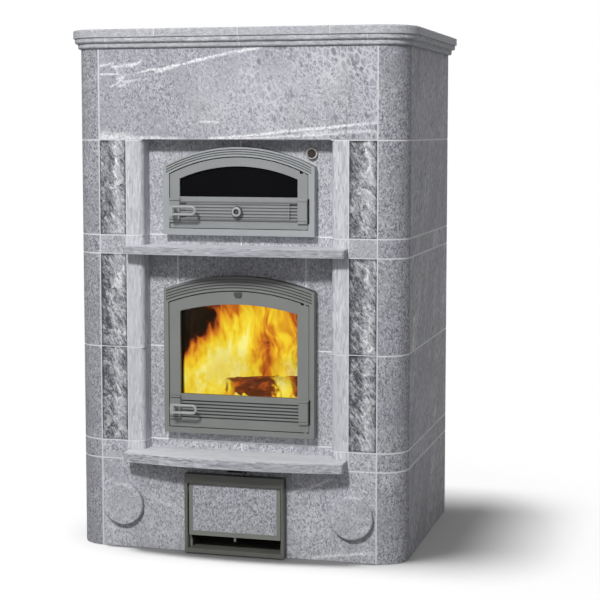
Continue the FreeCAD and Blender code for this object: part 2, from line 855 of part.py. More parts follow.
def fire_leaf():
    """Fire leaf with a small plain lug under its head."""
    front = leaf_front(FIRE_DOOR)
    half, drop, height, out = LUG
    top = leaf_arch(FIRE_DOOR).crown - drop
    lug = box(-half, half, front - out, front, top - height, top)
    for side in (-1, 1):
        lug = rounded(lug, LUG_ROUND, foot_corner_at(side * half, top - height))
    return fused([door_leaf(FIRE_DOOR), lug])


# Air slide of the oven door
def oven_leaf():
    """Oven leaf with air ports, a slot for the knob's stem and guides above and below the slide."""
    front = leaf_front(OVEN_DOOR)
    back = leaf_back(OVEN_DOOR)
    foot, head = OVEN_DOOR.ribs
    right = rib_right(OVEN_DOOR)
    guides = [
        box(RIB_LEFT, right, front - GUIDE_OUT, front, head, head + GUIDE_H),
        box(RIB_LEFT, right, front - GUIDE_OUT, front, foot - GUIDE_H, foot),
    ]
    room = KNOB_STEM_R + PLAY
    reach = SLIDE_TRAVEL + room
    middle = (foot + head) / 2
    cuts = [box(-reach, reach, front, back, KNOB_Z - room, KNOB_Z + room)]
    for _, side in SIDES:
        near, far = (side * x for x in PORT_X)
        cuts.append(box(near, far, front, back, middle - PORT_HALF_H, middle + PORT_HALF_H))
    return fused([door_leaf(OVEN_DOOR)] + guides).cut(group(cuts))


def air_slide():
    """Ribbed plate that covers the air ports."""
    back = leaf_front(OVEN_DOOR) - PLAY
    front = back - SLIDE_T
    foot, head = OVEN_DOOR.ribs
    plate = box(-SLIDE_HALF, SLIDE_HALF, front, back, foot + PLAY, head - PLAY)
    half = SLIDE_HALF - SLIDE_EDGE
    grooves = rib_grooves(OVEN_DOOR, -half, half, front, SLIDE_GROOVE)
    stem_hole = rod_y(0, KNOB_Z, front, back, KNOB_STEM_R)
    return plate.cut(group(grooves + [stem_hole]))


def air_knob():
    """Round knob with a dished face and a screw, its stem through plate and leaf."""
    seat = leaf_front(OVEN_DOOR) - PLAY - SLIDE_T
    face = seat - KNOB_LENGTH
    body = rod_y(0, KNOB_Z, face, seat, KNOB_R)
    body = rounded(body, KNOB_EDGE, across_at(face))
    body = body.cut(rod_y(0, KNOB_Z, face, face + KNOB_RECESS, KNOB_RECESS_R))
    screw = rod_y(0, KNOB_Z, face + KNOB_RECESS / 2, seat, KNOB_SCREW_R)
    stem = rod_y(0, KNOB_Z, seat - OVERLAP, leaf_back(OVEN_DOOR), KNOB_STEM_R)
    return fused([body, screw, stem])


# Ash drawer and hatch
def ash_frame():
    """Steel frame in front of the plinth, with a sleeve and two runners."""
    half, foot, head = ASH_FRAME
    front = FRONT - ASH_FRAME_OUT
    clear_z = (foot + ASH_SILL, head - ASH_HEAD)
    clear_x = half - ASH_STILE
    rim = box(-half, half, front, FRONT, foot, head).cut(box(-clear_x, clear_x, front, FRONT, *clear_z))
    sleeve_top = ASH_LINTEL_FOOT - JOINT
    inner_x = ASH_SLEEVE_X - ASH_SLEEVE_T
    sleeve = box(-ASH_SLEEVE_X, ASH_SLEEVE_X, FRONT, STONE_BACK, foot, sleeve_top)
    sleeve = sleeve.cut(box(-inner_x, inner_x, FRONT, STONE_BACK, *clear_z))
    plate_front = FRONT - ASH_SLEEVE_T
    plate = box(-clear_x, clear_x, plate_front, FRONT, foot, sleeve_top)
    plate = plate.cut(box(-inner_x, inner_x, plate_front, FRONT, *clear_z))
    pieces = [rim, plate, sleeve]
    hanger_z = (RUNNER_Z[0], RUNNER_Z[1] + ASH_STILE)
    for _, side in SIDES:
        pieces.append(box(side * RUNNER_X, side * inner_x, FRONT, RUNNER_BACK, *RUNNER_Z))
        pieces.append(box(side * inner_x, side * ASH_SLEEVE_X, STONE_BACK, RUNNER_BACK, *hanger_z))
    return fused(pieces)


def drawer_front_y():
    return FRONT - ASH_FRAME_OUT + FRONT_SET_BACK


def drawer_front():
    """Steel tray round the stone panel, with a peg under it to pull by."""
    face = drawer_front_y()
    tray = box(-FRONT_X, FRONT_X, face, face + FRONT_T, *FRONT_Z)
    tray = tray.cut(box(-PANEL_HALF, PANEL_HALF, face, face + PANEL_T, *PANEL_Z))
    peg = rod_z(0, face + FRONT_T / 2, PEG_FOOT, FRONT_Z[0] + OVERLAP, PEG_R)
    return fused([tray, peg])


def drawer_panel():
    face = drawer_front_y()
    return box(-PANEL_HALF, PANEL_HALF, face, face + PANEL_T, *PANEL_Z)


def ash_pan():
    """Open steel box behind the drawer front."""
    front = drawer_front_y() + FRONT_T
    outer = box(-PAN_X, PAN_X, front, PAN_BACK, *PAN_Z)
    return outer.cut(
        box(
            PAN_WALL - PAN_X,
            PAN_X - PAN_WALL,
            front + PAN_WALL,
            PAN_BACK - PAN_WALL,
            PAN_Z[0] + PAN_WALL,
            PAN_Z[1],
        )
    )


# Small pieces
def air_lever():
    """Rod through the slot with a knob in front and a damper plate behind the stone."""
    half, foot, head = LEVER_PLATE
    z = (LEVER_SLOT[1] + LEVER_SLOT[2]) / 2
    plate_front = STONE_BACK + PLAY
    rod = rod_y(LEVER_X, z, FRONT - LEVER_KNOB_OUT, plate_front + LEVER_PLATE_T, LEVER_R)
    knob = rod_y(LEVER_X, z, FRONT - LEVER_KNOB_OUT, FRONT - PLAY, LEVER_KNOB_R)
    plate = box(LEVER_X - half, LEVER_X + half, plate_front, plate_front + LEVER_PLATE_T, foot, head)
    return fused([rod, knob, plate])


def soot_plug(side):
    """Stone disc with a neck that fills the cleaning hole."""
    x = side * PLUG_X
    seat = FRONT - PLAY
    disc = rod_y(x, PLUG_Z, FRONT - PLUG_OUT, seat, PLUG_R)
    disc = rounded(disc, PLUG_EDGE, across_at(FRONT - PLUG_OUT))
    return fused([disc, rod_y(x, PLUG_Z, seat - OVERLAP, FRONT + PLUG_NECK, PLUG_NECK_R)])


def round_disc():
    """Plain round disc beside the oven door, with a raised rim."""
    face = NICHE_Y - DISC_OUT
    disc = rod_y(DISC_X, DISC_Z, face, NICHE_Y, DISC_R)
    return disc.cut(rod_y(DISC_X, DISC_Z, face, face + DISC_DISH, DISC_R - DISC_RIM))


def stone_nodes():
    nodes = {
        "hatch_lintel_stone": hatch_lintel(),
        "back_slabs": back_slabs(),
        "band_stones": band_stones(),
        "lower_band_niche_stones": band_niche(LOWER_BAND),
        "fire_sill_stone": fire_sill(),
        "fire_side_stones": fire_side_stones(),
        "fire_lintel_stone": fire_lintel(),
        "upper_band_niche_stones": band_niche(UPPER_BAND),
        "oven_niche_stones": oven_niche(),
        "lintel_stone": front_stone(-CORNER_X, CORNER_X, *course(LINTEL)),
        "lower_shelf": shelf(COURSE_TOPS[PLINTH] + HALF_JOINT, LOWER_SHELF_TOP, LOWER_SHELF_REACH),
        "upper_shelf": shelf(COURSE_TOPS[UPPER] + HALF_JOINT, UPPER_SHELF_TOP, UPPER_SHELF_REACH),
        "cornice_moulding": cornice_moulding(),
        "cornice_top_slabs": cornice_top(),
        "mortar_joints": mortar_joints(),
    }
    for name, side in SIDES:
        nodes["plinth_slab_" + name] = plinth_front(side)
        nodes["corner_stones_" + name] = corner_stones(side)
        nodes["side_slabs_" + name] = side_slabs(side)
        nodes["split_face_panels_" + name] = split_panels(side)
        nodes["pillar_stones_" + name] = pillar_stones(side)
    return nodes


def core_nodes():
    return {
        "base_slab": base_slab(),
        "ash_pit_blocks": ash_pit_blocks(),
        "firebox_floor": firebox_floor(),
        "fire_grate": fire_grate(),
        "firebox_side_linings": firebox_linings(),
        "firebox_back_lining": firebox_back(),
        "oven_floor": pierced_slab(THROAT, COURSE_TOPS[UPPER], COURSE_TOPS[UPPER_BAND]),
        "oven_lining": oven_lining(),
        "oven_ceiling": pierced_slab(OVEN_OUTLET, COURSE_TOPS[OVEN], OVEN_CEILING_TOP),
        "cover_slab": cover_slab(),
        "flue_collar": flue_collar(),
    }


def door_nodes(door, leaf):
    return {
        door.name + "_door_frame": door_frame(door),
        door.name + "_hinge_pins": group(hinge_pins(door, HINGE_PIN_R)),
        door.name + "_door_leaf": leaf,
        door.name + "_door_glass": door_glass(door),
        door.name + "_handle_base": handle_base(door),
        door.name + "_handle_loop": handle_loop(door),
        door.name + "_latch_tongue": latch_tongue(door),
    }


def small_nodes():
    nodes = {
        "oven_air_slide": air_slide(),
        "oven_air_knob": air_knob(),
        "ash_frame": ash_frame(),
        "ash_drawer_front": drawer_front(),
        "ash_drawer_panel": drawer_panel(),
        "ash_pan": ash_pan(),
        "air_lever": air_lever(),
        "round_disc": round_disc(),
    }
    for name, side in SIDES:
        nodes["soot_plug_" + name] = soot_plug(side)
    return nodes


os.makedirs("parts", exist_ok=True)
NODES = {**stone_nodes(), **core_nodes(), **small_nodes()}
NODES.update(door_nodes(FIRE_DOOR, fire_leaf()))
NODES.update(door_nodes(OVEN_DOOR, oven_leaf()))
for node_name, shape in NODES.items():
    shape.exportStep("parts/" + node_name + ".step")
print(len(NODES), "nodes")
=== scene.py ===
import json
import math
import random

import bmesh
import bpy
from mathutils import Matrix, Vector, noise


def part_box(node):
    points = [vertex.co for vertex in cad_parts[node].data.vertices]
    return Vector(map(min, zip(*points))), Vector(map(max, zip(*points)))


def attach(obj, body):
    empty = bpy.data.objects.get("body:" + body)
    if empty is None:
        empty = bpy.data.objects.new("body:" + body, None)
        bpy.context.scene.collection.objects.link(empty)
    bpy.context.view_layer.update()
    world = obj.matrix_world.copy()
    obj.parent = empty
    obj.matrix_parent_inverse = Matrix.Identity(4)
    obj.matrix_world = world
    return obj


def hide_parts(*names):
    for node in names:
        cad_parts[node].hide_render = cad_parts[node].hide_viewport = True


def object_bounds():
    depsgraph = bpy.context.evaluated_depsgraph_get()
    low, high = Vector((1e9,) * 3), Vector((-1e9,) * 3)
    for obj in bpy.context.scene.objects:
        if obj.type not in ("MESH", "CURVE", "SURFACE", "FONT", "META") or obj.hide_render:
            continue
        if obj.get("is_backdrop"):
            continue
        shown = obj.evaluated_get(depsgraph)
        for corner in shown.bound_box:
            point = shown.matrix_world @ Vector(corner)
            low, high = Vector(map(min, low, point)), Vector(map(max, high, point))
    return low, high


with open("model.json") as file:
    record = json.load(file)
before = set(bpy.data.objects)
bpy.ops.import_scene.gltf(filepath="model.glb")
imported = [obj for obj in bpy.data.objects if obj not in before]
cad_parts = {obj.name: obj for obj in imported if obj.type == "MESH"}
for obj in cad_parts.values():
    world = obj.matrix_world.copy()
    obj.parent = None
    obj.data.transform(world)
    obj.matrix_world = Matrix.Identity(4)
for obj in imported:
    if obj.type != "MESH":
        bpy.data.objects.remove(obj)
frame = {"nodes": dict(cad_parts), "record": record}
cad_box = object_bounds()

# Studio: a pale seamless floor and a white surround, a soft lamp in front and above, a weaker one behind,
# and a sky that is brighter overhead. The floor has a lamp of its own, so the shadow falls to the right.
CAMERA_PLACE = (1.4812, -5.0820, 1.3572)
CAMERA_TURN = (85.0, 0.0, 15.098)
CAMERA_LENS = 94.157
CAMERA_SHIFT = -0.0555
SKY_LOW = 0.10
SKY_HIGH = 0.50
SKY_FRONT = 0.26
FLOOR_HALF = 14.0
FLOOR_SEEN = 0.53
FLOOR_BOUNCE = 0.16
FLOOR_FADE = (0.95, 1.45)


def feed(made, feeds):
    """Gives each named input of a node its value, or the socket that drives it."""
    for key, value in feeds.items():
        if isinstance(value, bpy.types.NodeSocket):
            made.id_data.links.new(value, made.inputs[key])
        else:
            made.inputs[key].default_value = value


def add_node(kind, feeds, tree=None, **settings):
    """Adds a shader node and feeds its inputs; it goes into the given tree or that of its first feed."""
    if tree is None:
        tree = next(value.id_data for value in feeds.values() if isinstance(value, bpy.types.NodeSocket))
    made = tree.nodes.new("ShaderNode" + kind)
    for name, value in settings.items():
        setattr(made, name, value)
    feed(made, feeds)
    return made


def calc(operation, *values):
    """Result of a Math node on the given sockets or numbers."""
    return add_node("Math", dict(enumerate(values)), operation=operation).outputs[0]


def spread(value, low, high, to_low=0.0, to_high=1.0):
    """Value moved from one range to another and held within it."""
    return add_node("MapRange", {0: value, 1: low, 2: high, 3: to_low, 4: to_high}).outputs[0]


def axes(place):
    """X, Y and Z of a place, or the channels of a colour."""
    return add_node("SeparateXYZ", {0: place}).outputs


def seen_directly(tree):
    """Mask of the rays that look at the surround: straight, in gloss or through glass."""
    path = add_node("LightPath", {}, tree).outputs
    mirrored = calc("MAXIMUM", path["Is Glossy Ray"], path["Is Transmission Ray"])
    return calc("MAXIMUM", path["Is Camera Ray"], mirrored)


scene = bpy.context.scene
scene.view_settings.view_transform = "Standard"
camera = bpy.data.objects.new("camera", bpy.data.cameras.new("camera"))
camera.location = CAMERA_PLACE
camera.rotation_euler = [math.radians(turn) for turn in CAMERA_TURN]
camera.data.lens = CAMERA_LENS
camera.data.shift_y = CAMERA_SHIFT
scene.collection.objects.link(camera)
scene.camera = camera

scene.world = bpy.data.worlds.new("surround")
scene.world.use_nodes = True
sky = scene.world.node_tree
sky.nodes.clear()
direction = add_node("TexCoord", {}, sky).outputs["Generated"]
aim = axes(direction)
level = spread(aim["Z"], 0.0, 1.0, SKY_LOW, SKY_HIGH)
front = spread(aim["Y"], 0.0, -1.0, 0.0, SKY_FRONT)
level = calc("ADD", level, front)
even_sky = add_node("Background", {"Color": (1, 1, 1, 1), "Strength": level}).outputs[0]
white = add_node("Background", {"Color": (1, 1, 1, 1), "Strength": 1.0}, sky).outputs[0]
surround = add_node("MixShader", {0: seen_directly(sky), 1: even_sky, 2: white}).outputs[0]
add_node("OutputWorld", {"Surface": surround})

floor_form = bmesh.new()
bmesh.ops.create_grid(floor_form, x_segments=2, y_segments=2, size=FLOOR_HALF)
floor_mesh = bpy.data.meshes.new("floor")
floor_form.to_mesh(floor_mesh)
floor_form.free()
floor = bpy.data.objects.new("floor", floor_mesh)
scene.collection.objects.link(floor)
floor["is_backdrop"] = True
floor_finish = bpy.data.materials.new("pale_floor")
floor_finish.use_nodes = True
floor_tree = floor_finish.node_tree
floor_tree.nodes.clear()
looked_at = seen_directly(floor_tree)
floor_tone = calc("MULTIPLY_ADD", looked_at, FLOOR_SEEN - FLOOR_BOUNCE, FLOOR_BOUNCE)
near_floor = add_node("BsdfDiffuse", {"Color": floor_tone}).outputs[0]
far_floor = add_node("Emission", {"Color": (1, 1, 1, 1), "Strength": 1.0}, floor_tree).outputs[0]
floor_place = add_node("TexCoord", {}, floor_tree).outputs["Object"]
reach = add_node("VectorMath", {0: floor_place}, operation="LENGTH").outputs["Value"]
fade = calc("MULTIPLY", spread(reach, *FLOOR_FADE), looked_at)
floor_shade = add_node("MixShader", {0: fade, 1: near_floor, 2: far_floor}).outputs[0]
add_node("OutputMaterial", {"Surface": floor_shade})
floor_mesh.materials.append(floor_finish)


def hang_lamp(name, place, aim, size, power, floor_state):
    """Round soft lamp; it lights only the floor (INCLUDE) or all but the floor (EXCLUDE)."""
    lamp = bpy.data.objects.new(name, bpy.data.lights.new(name, "AREA"))
    lamp.data.shape = "DISK"
    lamp.data.size = size
    lamp.data.energy = power
    lamp.location = place
    lamp.rotation_euler = (Vector(aim) - Vector(place)).to_track_quat("-Z", "Y").to_euler()
    scene.collection.objects.link(lamp)
    lit = bpy.data.collections.new(name + "_lights")
    lit.objects.link(floor)
    lit.collection_objects[0].light_linking.link_state = floor_state
    lamp.light_linking.receiver_collection = lit


LAMPS = (
    # name, place, aim, width, power in watts, and whether it lights the floor alone
    ("front_lamp", (-0.40, -5.0, 4.5), (0.0, -0.37, 0.85), 0.75, 285.0, "EXCLUDE"),
    ("back_lamp", (0.5, 4.8, 3.6), (0.0, 0.37, 0.85), 1.6, 170.0, "EXCLUDE"),
    ("floor_lamp", (-1.25, -0.8, 12.0), (-1.25, -0.8, 0.0), 2.7, 2250.0, "INCLUDE"),
)
for lamp_row in LAMPS:
    hang_lamp(*lamp_row)


# Refractory core: base slab, ash-pit blocks, hearth, firebox and oven walls, slabs and cover, all pressed
# firebrick and castable blocks laid in clay. Faces in the fire's way are dulled by soot.
CORE_NODES = (
    "base_slab",
    "ash_pit_blocks",
    "firebox_floor",
    "firebox_side_linings",
    "firebox_back_lining",
    "oven_floor",
    "oven_lining",
    "oven_ceiling",
    "cover_slab",
)
BRICK_PALE = (168, 143, 116)
BRICK_DARK = (120, 97, 76)
SOOT = (22, 20, 19)
GROG_PER_M = 180.0
SOOT_PATCHES_PER_M = 6.0


def tone(red, green, blue):
    """Colour as seen, 0 to 255, turned into the linear values that a shader takes."""
    shares = [value / 255 for value in (red, green, blue)]
    linear = [s / 12.92 if s <= 0.04045 else ((s + 0.055) / 1.055) ** 2.4 for s in shares]
    return (*linear, 1.0)


def new_finish(name, shine, rough=0.5, others=None):
    """Starts a material with the plain values of its shader; the last result is the place on the piece."""
    finish = bpy.data.materials.new(name)
    finish.use_nodes = True
    shader = finish.node_tree.nodes["Principled BSDF"]
    feed(shader, {"Specular IOR Level": shine, "Roughness": rough, **(others or {})})
    return finish, shader, add_node("TexCoord", {}, finish.node_tree).outputs["Object"]


def mixed(share, first, second):
    """Colour that goes from the first to the second with the share; plain ones are given as seen."""
    ends = [tone(*end) if isinstance(end, tuple) else end for end in (first, second)]
    return add_node("Mix", {0: share, 6: ends[0], 7: ends[1]}, data_type="RGBA").outputs[2]


def grain(vector, scale, detail=2.0, rough=0.5, swirl=0.0):
    """Cloudy noise about one half."""
    feeds = {"Vector": vector, "Scale": scale, "Detail": detail, "Roughness": rough, "Distortion": swirl}
    return add_node("TexNoise", feeds).outputs[0]


def weighed(terms, middle=0.5):
    """Sum of noises about one half, each with its weight, about a new middle."""
    total = middle - sum(weight for _, weight in terms) / 2
    for socket, weight in terms:
        total = calc("MULTIPLY_ADD", socket, weight, total)
    return total


def set_bump(shader, height, strength, depth):
    """Feeds a height into the shader's normal."""
    bump = add_node("Bump", {"Height": height, "Strength": strength, "Distance": depth})
    feed(shader, {"Normal": bump.outputs[0]})


def firebrick():
    """Firebrick with a grain of crushed brick, under patches of soot."""
    finish, shader, place = new_finish("sooty_firebrick", shine=0.2, rough=0.92)
    grog = grain(place, GROG_PER_M, 3.0, 0.7)
    patch = grain(place, SOOT_PATCHES_PER_M, 4.0, 0.6)
    brick = mixed(weighed([(grog, 0.9)]), BRICK_DARK, BRICK_PALE)
    sooted = mixed(spread(patch, 0.25, 0.55, 0.82, 1.0), brick, SOOT)
    feed(shader, {"Base Color": sooted})
    set_bump(shader, grog, 0.2, 0.0006)
    return finish


def repaint(node, finish):
    """Gives a CAD node that stays as it is its finish."""
    mesh = frame["nodes"][node].data
    mesh.materials.clear()
    mesh.materials.append(finish)


brick_finish = firebrick()
for core_node in CORE_NODES:
    repaint(core_node, brick_finish)


# Grate: a loose grey-iron casting with slots across it, lying on a ledge of the hearth. Scale from the heat
# and fine ash give it a dull, mottled skin.
IRON_DARK = (38, 37, 37)
IRON_ASH = (96, 92, 88)
GRIT_PER_M = 700.0


def raw_iron(name, dark, pale, rough, mottle=60.0):
    """Casting or sheet with a mottled skin of scale; mottle is the number of patches to the metre."""
    finish, shader, place = new_finish(name, shine=0.3, others={"Metallic": 0.4})
    scale = grain(place, mottle, 5.0, 0.65)
    grit = grain(place, GRIT_PER_M, 2.0, 0.6)
    coat = mixed(spread(scale, 0.38, 0.66), dark, pale)
    feed(shader, {"Base Color": coat, "Roughness": spread(scale, 0.3, 0.7, rough, rough + 0.2)})
    set_bump(shader, grit, 0.35, 0.0004)
    return finish


repaint("fire_grate", raw_iron("grate_casting", IRON_DARK, IRON_ASH, rough=0.6))


# Plinth: soapstone slabs beside the ash hatch, with round holes for the soot plugs, and the stone over the
# hatch. Sawn, honed and bedded in mortar, with eased arrises and a speckled figure of talc and magnesite.
STONE_PALE = (206, 207, 212)
STONE_DARK = (132, 133, 140)
STONE_LILAC = (171, 169, 181)
STONE_GREEN = (172, 176, 175)
STONE_VEIN = (238, 238, 241)
STONE_DULL = (0.58, 0.76)
STONE_ARRIS = 0.0016
PLAIN_SAWN = (1.0, 1.0, 1.6)
NO_LEAN = (0.0, 0.0, 0.0)
TINT_SHARE = 0.16
RAGGED = (0.007, 0.007, 0.007)
RAGGED_PER_M = 120.0
FINE_PER_M = 420.0
GRAINS_PER_M = 290.0
FLECKS_PER_M = 150.0
WEB_PER_M = 58.0
WEB_FLECKS_PER_M = 64.0
WEB_PATCHES_PER_M = 5.0
CLOUDS_PER_M = 9.0
TINTS_PER_M = 7.0
VEIN_SWIRLS_PER_M = 3.4
VEIN_PATCHES_PER_M = 4.5
WOBBLES_PER_M = 16.0
VEIN_BREAKS_PER_M = 110.0
FIGURE_SPREAD = 40.0
SAME_PLACE = 2e-5
FLAT_ENOUGH = math.radians(0.2)
SHARP = math.radians(32)
SMOOTH_UP_TO = math.radians(50)
record = frame["record"]
body_of = {node: body for body, nodes in record["behaviour"]["bodies"].items() for node in nodes}


def new_group(name, inputs, outputs):
    """Starts a shader node group and returns it with its input and output nodes."""
    group = bpy.data.node_groups.new(name, "ShaderNodeTree")
    for socket, kind in inputs:
        group.interface.new_socket(socket, in_out="INPUT", socket_type="NodeSocket" + kind)
    for socket, kind in outputs:
        group.interface.new_socket(socket, in_out="OUTPUT", socket_type="NodeSocket" + kind)
    return group, group.nodes.new("NodeGroupInput"), group.nodes.new("NodeGroupOutput")


def marked(place, name):
    """Mark left on the faces or points of a piece."""
    return add_node("Attribute", {}, place.id_data, attribute_name=name).outputs["Fac"]


def product(first, *others):
    """Product of masks or values."""
    for other in others:
        first = calc("MULTIPLY", first, other)
    return first


def stirred(place, scale, detail, amount):
    """Place moved about by a noise, by an amount along each axis."""
    shift = add_node("TexNoise", {"Vector": place, "Scale": scale, "Detail": detail}).outputs["Color"]
    moved = {0: shift, 1: amount, 2: place}
    return add_node("VectorMath", moved, operation="MULTIPLY_ADD").outputs[0]


def flecks(place, scale, bare):
    """Mask of separate dark flecks; bare is the share of places that hold none."""
    cells = add_node("TexVoronoi", {"Vector": place, "Scale": scale}).outputs
    size = spread(axes(cells["Color"])["X"], bare, 1.0, 0.0, 0.6)
    return spread(calc("SUBTRACT", size, cells["Distance"]), 0.0, 0.2)


def soapstone_figure():
    """Group for the flecks, clouds, tint and veins of soapstone; Net is for large flecks in a pale web."""
    inputs = [("Vector", "Vector"), ("Speckle", "Float"), ("Cloud", "Float"), ("Net", "Float")]
    outputs = [(socket, "Float") for socket in ("Tone", "Tint", "Vein", "Cloud", "Grit")]
    group, given, made = new_group("soapstone_figure", inputs, outputs)
    place = given.outputs["Vector"]
    fine = grain(place, FINE_PER_M, 2.0, 0.7)
    clouds = grain(place, CLOUDS_PER_M, 4.0, 0.6)
    ragged = stirred(place, RAGGED_PER_M, 2.0, RAGGED)
    thick = spread(clouds, 0.36, 0.64, 0.45, 1.35)
    grains = add_node("TexVoronoi", {"Vector": ragged, "Scale": GRAINS_PER_M}).outputs["Color"]
    grains = axes(grains)["X"]
    dark_grains = spread(grains, 0.32, 0.08, 0.0, -1.1)
    salt = calc("ADD", dark_grains, spread(grains, 0.7, 0.95))
    salt = calc("MULTIPLY_ADD", flecks(ragged, FLECKS_PER_M, 0.5), -0.6, salt)
    speckle = product(salt, thick, given.outputs["Speckle"])
    speckle = calc("ADD", speckle, weighed([(fine, 0.8)], 0.5))
    cells = {"Vector": ragged, "Scale": WEB_PER_M}
    web = add_node("TexVoronoi", cells, feature="DISTANCE_TO_EDGE").outputs["Distance"]
    web = spread(web, 0.012, 0.10, 1.15, 0.0)
    web = product(web, spread(grain(place, WEB_PATCHES_PER_M, 3.0), 0.38, 0.56))
    web = calc("MULTIPLY_ADD", flecks(ragged, WEB_FLECKS_PER_M, 0.55), -1.0, web)
    shade = calc("MULTIPLY_ADD", web, given.outputs["Net"], speckle)
    clouding = weighed([(clouds, 1.0)], 0.0)
    shade = calc("MULTIPLY_ADD", clouding, given.outputs["Cloud"], shade)
    swirl = grain(place, VEIN_SWIRLS_PER_M, 6.0, 0.62, 0.7)
    line = calc("ABSOLUTE", calc("SUBTRACT", swirl, 0.5))
    gate = spread(grain(place, VEIN_PATCHES_PER_M, 2.0), 0.53, 0.66)
    vein = product(spread(line, 0.002, 0.009, 1.0, 0.0), gate)
    tint = grain(place, TINTS_PER_M, 2.0)
    feed(made, {"Tone": shade, "Tint": tint, "Vein": vein, "Cloud": clouds, "Grit": fine})
    return group


figure = soapstone_figure()


def stone_place(place, sawn, lean):
    """Place in a stone's figure: each is cut from its own part of the quarry, and drawn out as sawn."""
    own = add_node("Attribute", {}, place.id_data, attribute_name="stone").outputs["Vector"]
    moved = add_node("VectorMath", {0: place, 1: own}, operation="ADD").outputs[0]
    drawn = {"Vector": moved, "Scale": sawn, "Rotation": lean}
    return add_node("Mapping", drawn, vector_type="TEXTURE").outputs[0]


def drawn_vein(place, start, end, width, wobble, strength):
    """Mask of one vein across the front, from start to end, given as X and Z."""
    across = axes(place)
    slope = (end[1] - start[1]) / (end[0] - start[0])
    sway = grain(place, WOBBLES_PER_M, 6.0, 0.74)
    sway = calc("MULTIPLY_ADD", sway, wobble, start[1] - wobble / 2)
    run = calc("SUBTRACT", across["X"], start[0])
    middle = calc("MULTIPLY_ADD", run, slope, sway)
    off = calc("ABSOLUTE", calc("SUBTRACT", across["Z"], middle))
    line = spread(off, width * 0.2, width, strength, 0.0)
    fade = (end[0] - start[0]) * 0.15
    begun = spread(across["X"], start[0], start[0] + fade)
    ended = spread(across["X"], end[0] - fade, end[0], 1.0, 0.0)
    patchy = spread(grain(place, VEIN_BREAKS_PER_M, 4.0, 0.7), 0.38, 0.56, 0.15, 1.0)
    return product(line, patchy, begun, ended)


def soapstone(
    name,
    pale,
    dark,
    speckle,
    cloud,
    vein=0.4,
    net=0.1,
    veins=(),
    sawn=PLAIN_SAWN,
    lean=NO_LEAN,
    soot=None,
    rim=0.35,
):
    """Honed soapstone; veins lists single veins of the front: start, end, width, wobble and strength.

    The net is one amount, or two places along X and the amount at each. Sawn is how far the figure is drawn
    out along each axis, soot the two depths between which soot thickens, and rim how much paler the arrises
    are painted, partly as wear and partly as a painted highlight.
    """
    finish, shader, place = new_finish(name, shine=0.12)
    cut = stone_place(place, sawn, lean)
    if isinstance(net, tuple):
        net = spread(axes(place)["X"], *net)
    given = {"Vector": cut, "Speckle": speckle, "Cloud": cloud, "Net": net}
    look = add_node("Group", given, node_tree=figure).outputs
    ground = mixed(look["Tone"], dark, pale)
    tint = mixed(spread(look["Tint"], 0.4, 0.6), STONE_LILAC, STONE_GREEN)
    ground = mixed(TINT_SHARE, ground, tint)
    mask = product(look["Vein"], vein)
    for single in veins:
        mask = calc("MAXIMUM", mask, drawn_vein(place, *single))
    # Arrises are painted paler, partly as wear and partly as a painted highlight; faces that look up are
    # painted paler in patches.
    mask = calc("MAXIMUM", mask, product(marked(place, "arris"), rim))
    mask = calc("MAXIMUM", mask, product(marked(place, "pale_top"), look["Cloud"]))
    ground = mixed(mask, ground, STONE_VEIN)
    if soot:
        ground = mixed(spread(axes(place)["Y"], *soot), ground, SOOT)
    dull = spread(look["Grit"], 0.3, 0.7, *STONE_DULL)
    feed(shader, {"Base Color": ground, "Roughness": dull})
    set_bump(shader, look["Grit"], 0.35, 0.0008)
    return finish


def loose_bodies(form):
    """Sets of the vertices of each separate body in a mesh."""
    left = set(form.verts)
    while left:
        found = {left.pop()}
        edge_of_search = list(found)
        while edge_of_search:
            vert = edge_of_search.pop()
            near = [edge.other_vert(vert) for edge in vert.link_edges]
            fresh = [other for other in near if other in left]
            left.difference_update(fresh)
            found.update(fresh)
            edge_of_search.extend(fresh)
        yield found


def merged_copy(node):
    """Copy of a CAD node's mesh with its corners merged and its flat faces whole."""
    form = bmesh.new()
    form.from_mesh(frame["nodes"][node].data)
    bmesh.ops.remove_doubles(form, verts=form.verts, dist=SAME_PLACE)
    bmesh.ops.dissolve_limit(form, angle_limit=FLAT_ENOUGH, verts=form.verts, edges=form.edges)
    return form


def ease_arrises(form, width):
    """Rounds the sharp edges and marks the new faces as arris."""
    mark = form.faces.layers.float.new("arris")
    sharp = [e for e in form.edges if len(e.link_faces) == 2 and e.calc_face_angle(0) > SHARP]
    options = {"offset_type": "OFFSET", "segments": 2, "profile": 0.5, "material": -1}
    eased = bmesh.ops.bevel(form, geom=sharp, offset=width, affect="EDGES", clamp_overlap=True, **options)
    for face in eased["faces"]:
        face[mark] = 1.0


def scatter_figure(form, seed):
    """Gives each stone of a piece its own part of the figure."""
    draw = random.Random(seed)
    mark = form.verts.layers.float_vector.new("stone")
    stones = sorted(loose_bodies(form), key=lambda verts: min(v.co.to_tuple(4) for v in verts))
    for verts in stones:
        offset = Vector([draw.uniform(0.0, FIGURE_SPREAD) for _ in range(3)])
        for vert in verts:
            vert[mark] = offset


def as_piece(form, name, finishes, body):
    """Turns a mesh into a piece of the model that moves with a body."""
    mesh = bpy.data.meshes.new(name)
    form.to_mesh(mesh)
    form.free()
    for finish in finishes:
        mesh.materials.append(finish)
    mesh.polygons.foreach_set("use_smooth", [True] * len(mesh.polygons))
    mesh.set_sharp_from_angle(angle=SMOOTH_UP_TO)
    piece = bpy.data.objects.new(name, mesh)
    scene.collection.objects.link(piece)
    even = piece.modifiers.new("even_shading", "WEIGHTED_NORMAL")
    even.keep_sharp = True
    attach(piece, body)
    return piece


def stand_in(node, form, ending, finishes):
    """Piece that takes the place of a CAD node."""
    piece = as_piece(form, node + ending, finishes, body_of[node])
    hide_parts(node)


